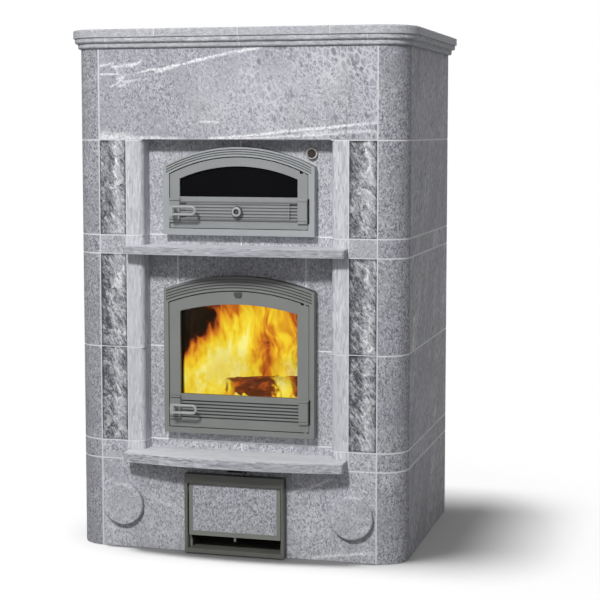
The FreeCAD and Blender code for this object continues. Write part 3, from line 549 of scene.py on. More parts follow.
def dress(finish, arris, *nodes, marks=None):
    """Pieces that stand for CAD nodes: their own forms, with eased edges and a finish."""
    for node in nodes:
        form = merged_copy(node)
        if marks:
            marks(form)
        ease_arrises(form, arris)
        scatter_figure(form, node)
        for face in form.faces:
            face.material_index = 0
        stand_in(node, form, "_dressed", [finish])


PLINTH_VEINS = (
    # X and Z of its start and of its end, width, wobble, strength
    ((0.160, 0.200), (0.330, 0.268), 0.006, 0.03, 0.6),
    ((0.235, 0.006), (0.455, 0.036), 0.008, 0.02, 0.7),
    ((-0.300, 0.180), (-0.170, 0.120), 0.010, 0.05, 0.3),
)
plinth_figure = {"speckle": 0.62, "cloud": 0.9, "vein": 0.2, "net": 0.2, "veins": PLINTH_VEINS}
plinth_stone = soapstone("plinth_soapstone", STONE_PALE, STONE_DARK, **plinth_figure)
dress(plinth_stone, STONE_ARRIS, "plinth_slab_left", "plinth_slab_right", "hatch_lintel_stone")


# Corner stones: one quarter-round stone to each course at both front corners, turned and rubbed from the
# same soapstone, with mortar beds between them. They take a darker copy of its colour as painted shade
# on the rounded corners.
SHADED_CORNER_PALE = (184, 185, 191)
SHADED_CORNER_DARK = (100, 101, 108)
shaded_corner_stone = soapstone("shaded_corner_soapstone", SHADED_CORNER_PALE, SHADED_CORNER_DARK, speckle=0.62, cloud=0.5)
dress(shaded_corner_stone, STONE_ARRIS, "corner_stones_left", "corner_stones_right")


# Side and back walls: one sawn slab to each course, set on edge. The saw went along the bed of the stone,
# so the sides show long streaks and a few thin white veins.
WALL_PALE = (204, 204, 210)
WALL_DARK = (122, 122, 129)
WALL_SAWN = (1.0, 1.0, 4.0)
WALL_LEAN = (math.radians(-24), 0.0, 0.0)
wall_figure = {"speckle": 0.62, "cloud": 1.1, "vein": 0.9, "sawn": WALL_SAWN, "lean": WALL_LEAN}
streaked_wall = soapstone("wall_soapstone", WALL_PALE, WALL_DARK, **wall_figure)
dress(streaked_wall, STONE_ARRIS, "side_slabs_left", "side_slabs_right", "back_slabs")


# Split-face panels: three upright stones on each side whose faces are riven, not sawn, so they keep rough
# ridges of crushed pale stone. Their hollows and edges are painted dark as shade. Their beds and backs are
# flat.
SPLIT_CREST = (228, 228, 231)
SPLIT_PALE = (184, 185, 190)
SPLIT_DARK_AND_SHADE = (78, 79, 85)
SPLIT_CELL = 0.0024
SPLIT_DEPTH = 0.013
SPLIT_MEAN = 0.003
SPLIT_EDGE = 0.008
SPLIT_LEAN = math.radians(-30)
SPLIT_SAWN = (1.0, 1.0, 3.0)
SPLIT_SPINE = (0.70, 0.22)
FLAKE_SHARE = 0.75
SPINE_SHARE = 0.8
RELIEF_LOW = 0.3
SHADE_MIDDLE = 0.42
SHADE_SWING = 0.6
SHADE_RIM = 0.35
FLAKES_PER_M = (34.0, 15.0)
FLAKE_SIZES = ((1.0, 0.55), (2.7, 0.35))
FLAKE_BEND = Vector((31.0, 17.0, 5.0))
FLAKE_DRAW = 70
FLAKE_MOST = 1.2
FLAKE_EDGE = 0.14
CRUMBS_PER_M = (90.0, 80.0)
CRUSH_PER_M = 110.0
CRUSH_FINE_PER_M = 300.0


def upright_grid(form, middle, width, height, across, up):
    """Upright sheet of cells that faces the front; returns its corners."""
    shape = Matrix.Translation(middle) @ Matrix.Rotation(math.pi / 2, 4, "X")
    shape = shape @ Matrix.Diagonal((width, height, 1, 1))
    return bmesh.ops.create_grid(form, x_segments=across, y_segments=up, size=0.5, matrix=shape)["verts"]


def riven_relief(x, z, offset, lean):
    """Relief of a riven face, about -1 to 1, made of tilted flakes, and how near a flake's edge is."""
    along = x * math.sin(lean) + z * math.cos(lean)
    across = x * math.cos(lean) - z * math.sin(lean)
    relief = 0.0
    edge = 0.0
    for scale, share in FLAKE_SIZES:
        place = Vector((across * FLAKES_PER_M[0], along * FLAKES_PER_M[1], 0)) * scale + offset
        bend = Vector((noise.noise(place * 0.9), noise.noise(place * 0.9 + FLAKE_BEND), 0.0))
        reach, spots = noise.voronoi(place + 0.5 * bend)
        tilt = noise.cell_vector(spots[0] * FLAKE_DRAW) * 2 - Vector((1, 1, 1))
        flake = (place - spots[0]).xy.dot(tilt.xy) + 0.9 * tilt.z
        relief += share * max(-FLAKE_MOST, min(FLAKE_MOST, flake))
        edge = max(edge, share * 2.2 * max(0.0, 1 - (reach[1] - reach[0]) / FLAKE_EDGE))
    crumb = Vector((x * CRUMBS_PER_M[0], z * CRUMBS_PER_M[1], 3))
    relief += 0.3 * noise.fractal(crumb + offset, 0.8, 2.1, 3)
    return relief, edge


def split_finish():
    """Riven soapstone, painted dark in the hollows and along the edges as shade, and crushed white on the
    ridges.
    """
    finish, shader, place = new_finish("split_soapstone", shine=0.1, rough=0.9)
    cut = stone_place(place, SPLIT_SAWN, (0.0, SPLIT_LEAN, 0.0))
    fine = grain(cut, CRUSH_FINE_PER_M, 2.0, 0.7)
    crush = grain(cut, CRUSH_PER_M, 4.0, 0.7, 0.4)
    share = calc("ADD", marked(place, "relief"), weighed([(fine, 2.2), (crush, 1.5)], 0.0))
    face = mixed(share, SPLIT_DARK_AND_SHADE, SPLIT_PALE)
    shattered = product(marked(place, "crest"), spread(crush, 0.40, 0.60))
    feed(shader, {"Base Color": mixed(shattered, face, SPLIT_CREST)})
    set_bump(shader, crush, 0.7, 0.002)
    return finish


def riven_panels(node, finish):
    """Piece for the riven panels of one side, a fine grid over the front of each stone's box."""
    whole = merged_copy(node)
    boxes = []
    for verts in loose_bodies(whole):
        low = Vector([min(v.co[i] for v in verts) for i in range(3)])
        high = Vector([max(v.co[i] for v in verts) for i in range(3)])
        boxes.append((low, high))
    whole.free()
    form = bmesh.new()
    relief_and_shade_mark = form.verts.layers.float.new("relief")
    crest_mark = form.verts.layers.float.new("crest")
    draw = random.Random(node)
    for low, high in sorted(boxes, key=lambda pair: pair[0].z):
        offset = Vector([draw.uniform(0.0, FIGURE_SPREAD) for _ in range(3)])
        lean = SPLIT_LEAN * draw.uniform(0.8, 1.2)
        size = high - low
        middle = (low + high) / 2
        cells = [round(length / SPLIT_CELL) for length in (size.x, size.z)]
        face = upright_grid(form, (middle.x, low.y, middle.z), size.x, size.z, *cells)
        rim = [e for v in face for e in v.link_edges if e.is_boundary]
        sides = bmesh.ops.extrude_edge_only(form, edges=list(set(rim)))["geom"]
        back = [part for part in sides if isinstance(part, bmesh.types.BMVert)]
        bmesh.ops.translate(form, verts=back, vec=(0, size.y, 0))
        back_rim = [e for e in sides if isinstance(e, bmesh.types.BMEdge) and e.is_boundary]
        bmesh.ops.edgeloop_fill(form, edges=back_rim)
        for vert in face:
            relief, ridge = riven_relief(vert.co.x, vert.co.z, offset, lean)
            spine = math.exp(-(((vert.co.x - low.x) / size.x - SPLIT_SPINE[0]) / SPLIT_SPINE[1]) ** 2)
            relief = FLAKE_SHARE * relief + SPINE_SHARE * spine - RELIEF_LOW
            gap = min(vert.co.x - low.x, high.x - vert.co.x, vert.co.z - low.z, high.z - vert.co.z)
            hold = min(1.0, gap / SPLIT_EDGE)
            vert.co.y -= (SPLIT_DEPTH * relief * 0.5 - SPLIT_MEAN) * hold
            # The tone mark falls in the hollows and towards the held edges: painted shade over the stone's
            # own tone.
            vert[relief_and_shade_mark] = SHADE_MIDDLE + SHADE_SWING * relief - SHADE_RIM * (1 - hold)
            vert[crest_mark] = ridge * hold * (0.5 + 0.6 * spine)
    bmesh.ops.recalc_face_normals(form, faces=form.faces)
    scatter_figure(form, node)
    stand_in(node, form, "_riven", [finish])


split = split_finish()
for side in ("left", "right"):
    riven_panels("split_face_panels_" + side, split)


# Band and niche stones: smooth band stones beside the shelves, and the flat stones of the niche round both
# doors. Honed soapstone again, butted with thin mortar; soot lies on their edges inside the doors.
NICHE_PALE = (208, 209, 214)
NICHE_DARK = (138, 139, 146)
NICHE_SOOT = (-0.304, -0.290)
NICHE_NODES = (
    "lower_band_niche_stones",
    "fire_sill_stone",
    "fire_side_stones",
    "fire_lintel_stone",
    "upper_band_niche_stones",
    "oven_niche_stones",
)
niche_figure = {"speckle": 0.8, "cloud": 0.5, "vein": 0.3, "net": 0.3, "soot": NICHE_SOOT}
niche_stone = soapstone("niche_soapstone", NICHE_PALE, NICHE_DARK, **niche_figure)
dress(niche_stone, STONE_ARRIS, *NICHE_NODES)
honed = soapstone("honed_soapstone", STONE_PALE, STONE_DARK, speckle=0.6, cloud=0.8, net=0.15)
dress(honed, STONE_ARRIS, "band_stones")


# Pillars: slim upright stones with a rounded inner arris on both sides of the niche. They are sawn with the
# grain upright, which leaves pale vertical streaks.
PILLAR_PALE = (222, 223, 227)
PILLAR_DARK = (166, 168, 175)
PILLAR_SAWN = (1.0, 1.0, 8.0)
pillar_figure = {"speckle": 0.42, "cloud": 0.4, "vein": 0.5, "net": 0.0, "sawn": PILLAR_SAWN}
upright_grain = soapstone("pillar_soapstone", PILLAR_PALE, PILLAR_DARK, **pillar_figure)
dress(upright_grain, STONE_ARRIS, "pillar_stones_left", "pillar_stones_right")


# Shelves: two thick slabs with a bowed front that run in under the pillars. Their grain lies along the
# shelf, the edge is rubbed round by hand, and faces that look up are painted paler in patches.
SHELF_SAWN = (7.0, 1.0, 1.0)
SHELF_PALE = (197, 198, 202)
SHELF_DARK = (126, 128, 135)
UPWARD_LEVEL = 0.9


def mark_pale_tops(form):
    """Marks the faces that look up, to be painted paler in patches; on the soot plugs this is a painted
    highlight on the upper rim.
    """
    mark = form.faces.layers.float.new("pale_top")
    for face in form.faces:
        face[mark] = 1.0 if face.normal.z > UPWARD_LEVEL else 0.0


shelf_figure = {"speckle": 0.42, "cloud": 0.5, "vein": 0.3, "net": 0.0, "sawn": SHELF_SAWN}
level_grain = soapstone("shelf_soapstone", SHELF_PALE, SHELF_DARK, **shelf_figure)
dress(level_grain, STONE_ARRIS, "lower_shelf", "upper_shelf", marks=mark_pale_tops)


# Lintel: the widest stone, across the whole front over the oven, sawn and honed. A thin white vein climbs
# across it, paler seams run along its foot, and dark flecks lie in a pale web at its right.
LINTEL_VEINS = (
    ((-0.475, 1.532), (-0.380, 1.533), 0.0045, 0.010, 1.0),
    ((-0.345, 1.532), (-0.060, 1.583), 0.0045, 0.018, 1.0),
    ((-0.180, 1.565), (0.110, 1.618), 0.0060, 0.016, 1.0),
    ((-0.270, 1.540), (-0.180, 1.560), 0.0100, 0.030, 0.8),
    ((-0.060, 1.588), (0.100, 1.614), 0.0070, 0.012, 0.9),
    ((-0.455, 1.560), (-0.400, 1.566), 0.0060, 0.020, 0.9),
    ((-0.420, 1.552), (-0.320, 1.566), 0.0070, 0.020, 1.0),
    ((-0.350, 1.552), (-0.310, 1.574), 0.0050, 0.010, 0.9),
    ((-0.410, 1.560), (-0.370, 1.515), 0.0060, 0.050, 0.7),
    ((-0.420, 1.490), (-0.360, 1.530), 0.0060, 0.050, 0.8),
    ((-0.395, 1.492), (-0.330, 1.514), 0.0060, 0.050, 0.7),
    ((-0.400, 1.525), (-0.350, 1.500), 0.0060, 0.050, 0.7),
    ((-0.480, 1.334), (-0.310, 1.322), 0.0240, 0.030, 0.9),
    ((-0.340, 1.330), (-0.160, 1.326), 0.0100, 0.024, 0.8),
    ((-0.160, 1.320), (0.480, 1.380), 0.0070, 0.016, 1.0),
    ((-0.120, 1.322), (0.380, 1.346), 0.0060, 0.020, 0.8),
    ((-0.120, 1.382), (-0.050, 1.380), 0.0060, 0.006, 0.8),
    ((0.200, 1.345), (0.480, 1.352), 0.0080, 0.030, 0.6),
    ((-0.180, 1.470), (0.400, 1.490), 0.1500, 0.090, 0.20),
)
LINTEL_PALE = (195, 196, 203)
LINTEL_DARK = (116, 117, 125)
LINTEL_WEB = (-0.15, 0.30, 0.1, 1.25)
LINTEL_LEAN = (0.0, math.radians(-20), 0.0)
lintel_figure = {"speckle": 0.46, "cloud": 0.5, "vein": 0.0, "net": LINTEL_WEB, "veins": LINTEL_VEINS}
veined = soapstone("lintel_soapstone", LINTEL_PALE, LINTEL_DARK, lean=LINTEL_LEAN, **lintel_figure)
dress(veined, STONE_ARRIS, "lintel_stone")


# Cornice: two rounded steps and a top of slabs laid side by side, all profiled from paler, finer stone and
# set with tight joints.
CORNICE_PALE = (199, 200, 204)
CORNICE_DARK = (152, 153, 159)
CORNICE_ARRIS = 0.0012
CORNICE_SAWN = {"cornice_moulding": (3.0, 3.0, 1.0), "cornice_top_slabs": (1.8, 1.0, 1.0)}
for cornice_node, cornice_sawn in CORNICE_SAWN.items():
    cornice_figure = {"speckle": 0.5, "cloud": 0.45, "sawn": cornice_sawn}
    cornice_stone = soapstone(cornice_node + "_soapstone", CORNICE_PALE, CORNICE_DARK, **cornice_figure)
    dress(cornice_stone, CORNICE_ARRIS, cornice_node)


# Mortar: white lime joints between all the stones, struck just behind the stone faces, and the tight joints
# of the cornice filled flush. The brush leaves a slightly sandy skin, and the joints are painted a little
# greyer towards the front.
MORTAR_PALE = (252, 252, 254)
MORTAR_DARK = (226, 226, 232)
MORTAR_FRONT_GREY = (208, 208, 213)
FRONT_GREY_FROM = (-0.30, -0.36)
SOOTED_HALF = 0.25
SOOTED_BACK = 0.28
TIGHT_JOINT = 0.003
SAND_PER_M = 420.0
STAINS_PER_M = 9.0
FACING = 0.99


def lime_mortar():
    """White lime, a little greyer towards the front and black inside the doors."""
    finish, shader, place = new_finish("lime_mortar", shine=0.1, rough=0.95)
    sand = grain(place, SAND_PER_M, 3.0, 0.7)
    stain = grain(place, STAINS_PER_M, 3.0, 0.6)
    share = weighed([(sand, 0.7), (stain, 1.0)], 0.6)
    lime = mixed(share, MORTAR_DARK, MORTAR_PALE)
    across = axes(place)
    darkening = spread(across["Y"], *FRONT_GREY_FROM, 0.0, 0.8)
    lime = mixed(darkening, lime, MORTAR_FRONT_GREY)
    within = calc("LESS_THAN", calc("ABSOLUTE", across["X"]), SOOTED_HALF)
    under = calc("LESS_THAN", across["Z"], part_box("cornice_moulding")[0].z)
    before = calc("LESS_THAN", across["Y"], SOOTED_BACK)
    sooted = product(within, under, before, spread(across["Y"], *NICHE_SOOT))
    feed(shader, {"Base Color": mixed(sooted, lime, SOOT)})
    set_bump(shader, sand, 0.4, 0.0006)
    return finish


def point_joints(node, finish):
    """Mortar in the gaps of a row of stones, drawn out from the end face of each stone to the next."""
    form = merged_copy(node)
    ends = [face for face in form.faces if abs(face.normal.x) > FACING]
    starts = {face.calc_center_median().x for face in ends if face.normal.x < 0}
    gaps = {}
    for face in ends:
        across = [x - face.calc_center_median().x for x in starts]
        across = [gap for gap in across if 0 < gap < TIGHT_JOINT]
        if face.normal.x > 0 and across:
            gaps[face] = min(across)
    spare = [face for face in form.faces if face not in gaps]
    bmesh.ops.delete(form, geom=spare, context="FACES")
    for face, gap in gaps.items():
        drawn = bmesh.ops.extrude_face_region(form, geom=[face], use_keep_orig=True)["geom"]
        moved = [part for part in drawn if isinstance(part, bmesh.types.BMVert)]
        bmesh.ops.translate(form, verts=moved, vec=(gap, 0, 0))
    bmesh.ops.recalc_face_normals(form, faces=form.faces)
    for face in form.faces:
        face.material_index = 0
    piece = as_piece(form, node + "_pointing", [finish], body_of[node])


mortar = lime_mortar()
repaint("mortar_joints", mortar)
for cornice_node in CORNICE_SAWN:
    point_joints(cornice_node, mortar)


# Flue collar: a rolled steel sleeve in the back wall, ready for a smoke pipe. The mill skin is left on it.
# It is cemented into the lowest back slab.
MILL_DARK = (74, 74, 76)
MILL_PALE = (122, 121, 120)
COLLAR_ARRIS = 0.0006
dress(raw_iron("mill_steel", MILL_DARK, MILL_PALE, rough=0.38), COLLAR_ARRIS, "flue_collar")


# Door frames and leaves: grey-iron castings, ground, primed and sprayed with satin heatproof paint. The
# oven door is a shade lighter, and handling has polished the edges, which are also painted paler as a
# painted highlight. Grooves, lug and tops are painted dark as shade; the fire frame's head carries a painted
# shadow.
OVEN_FRAME_PAINT = (156, 159, 161)
OVEN_LEAF_PAINT = (138, 140, 141)
FIRE_PAINT = (121, 123, 121)
PAINTED_SHADOW_BLACK = (38, 38, 37)
FIRE_HEAD_PAINTED_SHADOW = (0.858, 0.876)
DARK_SHARE = 0.88
PALE_SHARE = 1.10
RUB_AND_HIGHLIGHT_SHARE = 1.32
PAINT_ARRIS = 0.0009
SAND_SKIN_PER_M = 900.0
SKIN_CLOUDS_PER_M = 11.0
RUB_PATCHES_PER_M = 90.0
SUNK = (0.0008, 0.0105)
LUG_HALF = 0.02
LOOKS_UP = 0.5


def casting_skin():
    """Group for the fine sand skin of a painted casting and the paler patches on its edges, partly rub and
    partly a painted highlight.
    """
    outputs = [("Skin", "Float"), ("Cloud", "Float"), ("RubAndHighlight", "Float")]
    group, given, made = new_group("casting_skin", [("Vector", "Vector")], outputs)
    place = given.outputs["Vector"]
    patchy = spread(grain(place, RUB_PATCHES_PER_M, 3.0, 0.6), 0.35, 0.65, 0.2, 1.0)
    sand = grain(place, SAND_SKIN_PER_M, 2.0, 0.6)
    cloud = grain(place, SKIN_CLOUDS_PER_M, 3.0, 0.6)
    feed(made, {"Skin": sand, "Cloud": cloud, "RubAndHighlight": product(marked(place, "arris"), patchy)})
    return group


skin = casting_skin()


def shaded(colour, share):
    """Seen colour made darker or lighter."""
    return tuple(min(255, share * value) for value in colour)


def cast_paint(name, colour, rough=0.42, rub_and_highlight=0.35, painted_shade_share=0.52, darkening=None):
    """Satin paint over a casting.

    The last three arguments set how much paler the edges are painted, partly as wear and partly as a painted
    highlight; the share of the colour left where shade is painted on grooves, lug and tops; and the two
    heights between which a painted shadow darkens the paint.
    """
    finish, shader, place = new_finish(name, shine=0.45)
    look = add_node("Group", {"Vector": place}, node_tree=skin).outputs
    share = weighed([(look["Skin"], 0.9), (look["Cloud"], 0.8)])
    coat = mixed(share, shaded(colour, DARK_SHARE), shaded(colour, PALE_SHARE))
    coat = mixed(0.5, coat, colour)
    # Edges are painted paler in patches, partly as wear and partly as a painted highlight.
    coat = mixed(product(look["RubAndHighlight"], rub_and_highlight), coat, shaded(colour, RUB_AND_HIGHLIGHT_SHARE))
    # Grooves, lug and tops are painted darker as shade.
    coat = mixed(marked(place, "painted_shade"), coat, shaded(colour, painted_shade_share))
    # The head of the fire frame is darkened as a painted shadow of the shelf above.
    if darkening:
        coat = mixed(spread(axes(place)["Z"], *darkening), coat, PAINTED_SHADOW_BLACK)
    dull = spread(look["Cloud"], 0.3, 0.7, rough - 0.05, rough + 0.08)
    feed(shader, {"Base Color": coat, "Roughness": dull})
    set_bump(shader, look["Skin"], 0.12, 0.0003)
    return finish


def mark_painted_shade(form):
    """Marks the faces painted dark as shade: a little behind the widest front face, on the lug before it, or
    on the top.
    """
    mark = form.faces.layers.float.new("painted_shade")
    heights = [vert.co.z for vert in form.verts]
    waist = (min(heights) + max(heights)) / 2
    fronts = {}
    for face in form.faces:
        if face.normal.y < -FACING:
            level = round(face.calc_center_median().y, 4)
            fronts[level] = fronts.get(level, 0.0) + face.calc_area()
    widest = max(fronts, key=fronts.get)
    for face in form.faces:
        spot = face.calc_center_median()
        in_groove = SUNK[0] < spot.y - widest < SUNK[1]
        on_lug = spot.y < widest - SUNK[0] and abs(spot.x) < LUG_HALF
        on_top = spot.z > waist and face.normal.z > LOOKS_UP
        face[mark] = 1.0 if in_groove or on_lug or on_top else 0.0


fire_paint = cast_paint("fire_door_paint", FIRE_PAINT)
oven_paint = cast_paint("oven_leaf_paint", OVEN_LEAF_PAINT, painted_shade_share=0.76)
dress(fire_paint, PAINT_ARRIS, "fire_door_leaf", "fire_handle_base", marks=mark_painted_shade)
dress(oven_paint, PAINT_ARRIS, "oven_door_leaf", "oven_handle_base", marks=mark_painted_shade)
oven_frame_paint = cast_paint("oven_frame_paint", OVEN_FRAME_PAINT, painted_shade_share=0.66)
fire_frame_paint = cast_paint("fire_frame_paint", FIRE_PAINT, darkening=FIRE_HEAD_PAINTED_SHADOW)
dress(fire_frame_paint, PAINT_ARRIS, "fire_door_frame", marks=mark_painted_shade)
dress(oven_frame_paint, PAINT_ARRIS, "oven_door_frame", marks=mark_painted_shade)


# Hinge pins and latch tongues: turned and sawn steel, left bare. The pins sit in the frames and the
# tongues turn with the handles behind the leaf.
STEEL_DARK = (120, 120, 121)
STEEL_PALE = (176, 175, 173)
PIN_ARRIS = 0.0004
bare_steel = raw_iron("bare_steel", STEEL_DARK, STEEL_PALE, rough=0.3)
dress(bare_steel, PIN_ARRIS, "fire_hinge_pins", "oven_hinge_pins", "fire_latch_tongue", "oven_latch_tongue")


# Loop handles: round bar bent into a U and welded to a hub that turns on the leaf. They are painted a paler
# grey, and the bend is polished by the hand that lifts it. Their edges are painted paler still, partly as
# that wear and partly as a painted highlight.
HANDLE_PAINT = (156, 158, 158)
HANDLE_ARRIS = 0.0012
handle_paint = cast_paint("handle_paint", HANDLE_PAINT, rough=0.32, rub_and_highlight=0.5)
dress(handle_paint, HANDLE_ARRIS, "fire_handle_loop", "oven_handle_loop")


# Panes: flat ceramic glass held in the back of each leaf. The fire pane is clear under a thin film of soot;
# the oven pane is tinted dark and only partly clear, as painted shade for the unlit oven behind it.
FIRE_PANE = (250, 248, 244)
FIRE_PANE_SOOT = (226, 214, 196)
OVEN_PANE_SHADE = (24, 24, 27)
OVEN_PANE_SHADE_HAZE = (29, 29, 31)
PANE_ARRIS = 0.0004
PANE_IOR = 1.12
FILM_PER_M = 7.0


def pane(name, clear, haze, through):
    """Glass under a cloudy film; through is the share of light that it lets pass."""
    clearness = {"Transmission Weight": through, "IOR": PANE_IOR}
    finish, shader, place = new_finish(name, shine=0.2, others=clearness)
    cloud = grain(place, FILM_PER_M, 4.0, 0.6)
    film = mixed(spread(cloud, 0.4, 0.75), clear, haze)
    feed(shader, {"Base Color": film, "Roughness": spread(cloud, 0.3, 0.8, 0.01, 0.05)})
    return finish


dress(pane("fire_pane", FIRE_PANE, FIRE_PANE_SOOT, through=1.0), PANE_ARRIS, "fire_door_glass")
dress(pane("oven_pane", OVEN_PANE_SHADE, OVEN_PANE_SHADE_HAZE, through=0.6), PANE_ARRIS, "oven_door_glass")


# Air slide: a ribbed plate in guides on the oven leaf, with a round knob screwed to it. The plate is
# painted as the leaf and the knob as the handles.
SLIDE_ARRIS = 0.0006
KNOB_ARRIS = 0.0008
# The plate's grooves and the knob's hollow are painted dark as shade.
dress(oven_paint, SLIDE_ARRIS, "oven_air_slide", marks=mark_painted_shade)
dress(handle_paint, KNOB_ARRIS, "oven_air_knob", marks=mark_painted_shade)


# Ash hatch: a folded steel frame with runners, and a drawer whose steel tray holds a stone panel and
# carries the ash pan. The frame and the tray are painted olive grey, and the pan is bare sheet.
HATCH_PAINT = (92, 93, 88)
DRAWER_PAINT = (114, 116, 110)
HATCH_HEAD_FOOT = 0.2285
HATCH_ARRIS = 0.0014
DRAWER_ARRIS = 0.0008
PAN_ARRIS = 0.0005
PANEL_PALE = (192, 193, 199)
PANEL_DARK = (114, 115, 122)
PAN_DARK = (88, 88, 89)
PAN_PALE = (116, 115, 113)


def mark_shadowed_head(form):
    """Parts the head of the hatch frame from its posts and marks it, to be painted dark as the shadow of the
    lower shelf.
    """
    bare = form.verts[:] + form.edges[:] + form.faces[:]
    bmesh.ops.bisect_plane(form, geom=bare, plane_co=(0, 0, HATCH_HEAD_FOOT), plane_no=(0, 0, 1))
    mark = form.faces.layers.float.new("painted_shade")
    for face in form.faces:
        face[mark] = 1.0 if face.calc_center_median().z > HATCH_HEAD_FOOT else 0.0


hatch_paint = cast_paint("hatch_paint", HATCH_PAINT, rough=0.4, rub_and_highlight=0.4, painted_shade_share=0.78)
dress(hatch_paint, HATCH_ARRIS, "ash_frame", marks=mark_shadowed_head)
dress(cast_paint("drawer_paint", DRAWER_PAINT, rough=0.4, rub_and_highlight=0.4), DRAWER_ARRIS, "ash_drawer_front")
panel_stone = soapstone("panel_soapstone", PANEL_PALE, PANEL_DARK, speckle=0.64, cloud=0.3, vein=0.0)
dress(panel_stone, DRAWER_ARRIS, "ash_drawer_panel")
dress(raw_iron("pan_sheet", PAN_DARK, PAN_PALE, rough=0.36, mottle=7.0), PAN_ARRIS, "ash_pan")


# Air lever: a steel rod with a black knob that slides in the slot over the hatch, and moves a damper plate
# behind the stone.
KNOB_BLACK = (34, 34, 33)
LEVER_ARRIS = 0.0006
dress(cast_paint("black_knob", KNOB_BLACK, rough=0.35, rub_and_highlight=0.5), LEVER_ARRIS, "air_lever")


# Soot plugs: round honed stones with a neck, pushed into the cleaning holes of the plinth.
# They are pulled straight out when the channels are swept.
PLUG_ARRIS = 0.0036
# Their arrises and upper rims are painted much paler, as a painted highlight.
plug_stone = soapstone("plug_soapstone", STONE_PALE, STONE_DARK, speckle=0.5, cloud=0.8, rim=0.8)
dress(plug_stone, PLUG_ARRIS, "soot_plug_left", "soot_plug_right", marks=mark_pale_tops)


# Round disc: a small turned boss beside the oven door, with a bright rim and a dark dished face.
# It is turned from steel bar and pinned to the stone.
RIM_STEEL = (206, 204, 200)
RIM_SHADE = (150, 147, 142)
DISH_BROWN = (66, 56, 50)
DISH_DARK = (34, 30, 28)
DISC_RIM = 0.0045
DISC_DISH = 0.0025
DISC_MIDDLE = 0.00175
DISC_PROFILE = (
    # how far in from the edge and how far behind the front
    (0.0, 0.0015),
    (0.0005, 0.0004),
    (0.0018, 0.0),
    (DISC_RIM - 0.0008, 0.0004),
    (DISC_RIM, DISC_DISH),
)
DISC_STEPS = 48


def turned_disc():
    """Profile from the wall over the rim to the middle of the dish, spun about the disc's axis."""
    low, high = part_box("round_disc")
    middle = (low + high) / 2
    radius = (high.x - low.x) / 2
    turned = [(radius - inward, low.y + behind) for inward, behind in DISC_PROFILE]
    outline = [(radius, high.y), *turned, (0.0, low.y + DISC_MIDDLE)]
    form = bmesh.new()
    points = [form.verts.new((middle.x + out, y, middle.z)) for out, y in outline]
    edges = [form.edges.new(pair) for pair in zip(points, points[1:])]
    turn = {"axis": (0, 1, 0), "cent": middle, "angle": math.tau, "steps": DISC_STEPS, "use_merge": True}
    bmesh.ops.spin(form, geom=points + edges, **turn)
    bmesh.ops.remove_doubles(form, verts=form.verts, dist=SAME_PLACE)
    bmesh.ops.holes_fill(form, edges=[e for e in form.edges if e.is_boundary])
    bmesh.ops.recalc_face_normals(form, faces=form.faces)
    for face in form.faces:
        off = face.calc_center_median() - middle
        dished = math.hypot(off.x, off.z) < radius - DISC_RIM and face.normal.y < -0.5
        face.material_index = 1 if dished else 0
    return form


rim_finish = raw_iron("disc_rim", RIM_SHADE, RIM_STEEL, rough=0.25)
dish_finish = raw_iron("disc_dish", DISH_DARK, DISH_BROWN, rough=0.4)
stand_in("round_disc", turned_disc(), "_turned", [rim_finish, dish_finish])


# Fire: split birch logs burning on a bed of embers on the grate, with flames that lean up behind the pane.
# The flames are thin sheets that only glow; they stay inside the firebox and move with nothing.
LOGS = (
    # length, radius, place of the middle, turn about Z, tilt, roll, in metres and degrees
    (0.34, 0.046, (-0.03, -0.10, 0.425), 4, 2, 20),
    (0.33, 0.044, (0.02, 0.02, 0.425), -6, -3, 200),
    (0.30, 0.040, (-0.08, -0.04, 0.480), 74, 2, 90),
    (0.34, 0.042, (-0.020, -0.170, 0.503), 3, -3, 150),
    (0.20, 0.036, (0.125, -0.100, 0.530), 64, -4, 30),
)
CHAR = (46, 22, 14)
BURNT_BARK = (120, 58, 30)
DULL_RED = (82, 39, 18)
GLOW = (250, 118, 26)
LOG_SIDES = 18
LOG_CUTS = 12
LOG_TAPER = 0.94
LOG_SPLIT = 0.35
LOG_KNOTS = 0.10
BLOTCHES_PER_M = 14.0
EMBER_HALF = 0.165
EMBER_HEIGHT = 0.045
EMBER_CELLS = 48
EMBER_CLEAR = 0.0005
FLAME_STEPS = (
    (0.00, (8, 4, 3)),
    (0.16, (54, 22, 12)),
    (0.32, (160, 72, 24)),
    (0.46, (214, 122, 30)),
    (0.60, (236, 176, 34)),
    (0.76, (250, 218, 48)),
    (0.90, (253, 234, 82)),
    (1.00, (255, 246, 140)),
)
FLAME_BACK = {"middle": -0.135, "bow": 0.182, "foot": 0.39, "head": 0.93, "reach": 0.11}
FLAME_FRONT = {"middle": -0.243, "bow": 0.0, "foot": 0.42, "head": 0.66, "reach": 0.02}
FLAME_SPOTS = (
    # X and Z of the middle, half width and half height, change of heat
    ((-0.140, 0.545), (0.14, 0.13), 0.42),
    ((-0.062, 0.640), (0.08, 0.13), 0.36),
    ((-0.235, 0.790), (0.145, 0.19), -1.15),
    ((-0.200, 0.660), (0.05, 0.07), -0.15),
    ((0.165, 0.790), (0.08, 0.18), -0.46),
    ((0.030, 0.900), (0.25, 0.11), -0.32),
    ((0.160, 0.480), (0.06, 0.06), 0.30),
    ((0.035, 0.625), (0.06, 0.09), -0.24),
    ((0.065, 0.540), (0.05, 0.06), -0.12),
    ((0.110, 0.545), (0.05, 0.06), 0.40),
)
SPOT_REACH = 1.3
FLAME_SHOWN = (0.06, 0.30)
WISP_GAPS = (0.26, 0.44)
WISP_TOP = (0.63, 0.52)
LOG_BARE = 0.080
LOG_COVERED = (0.060, 0.088, 0.12, 1.0)
TONGUES_PER_M = (12.0, 12.0, 4.5)
LICKS_PER_M = (30.0, 30.0, 10.0)
FLAME_SWAY = (0.15, 0.0, 0.10)
SWAYS_PER_M = 7.0
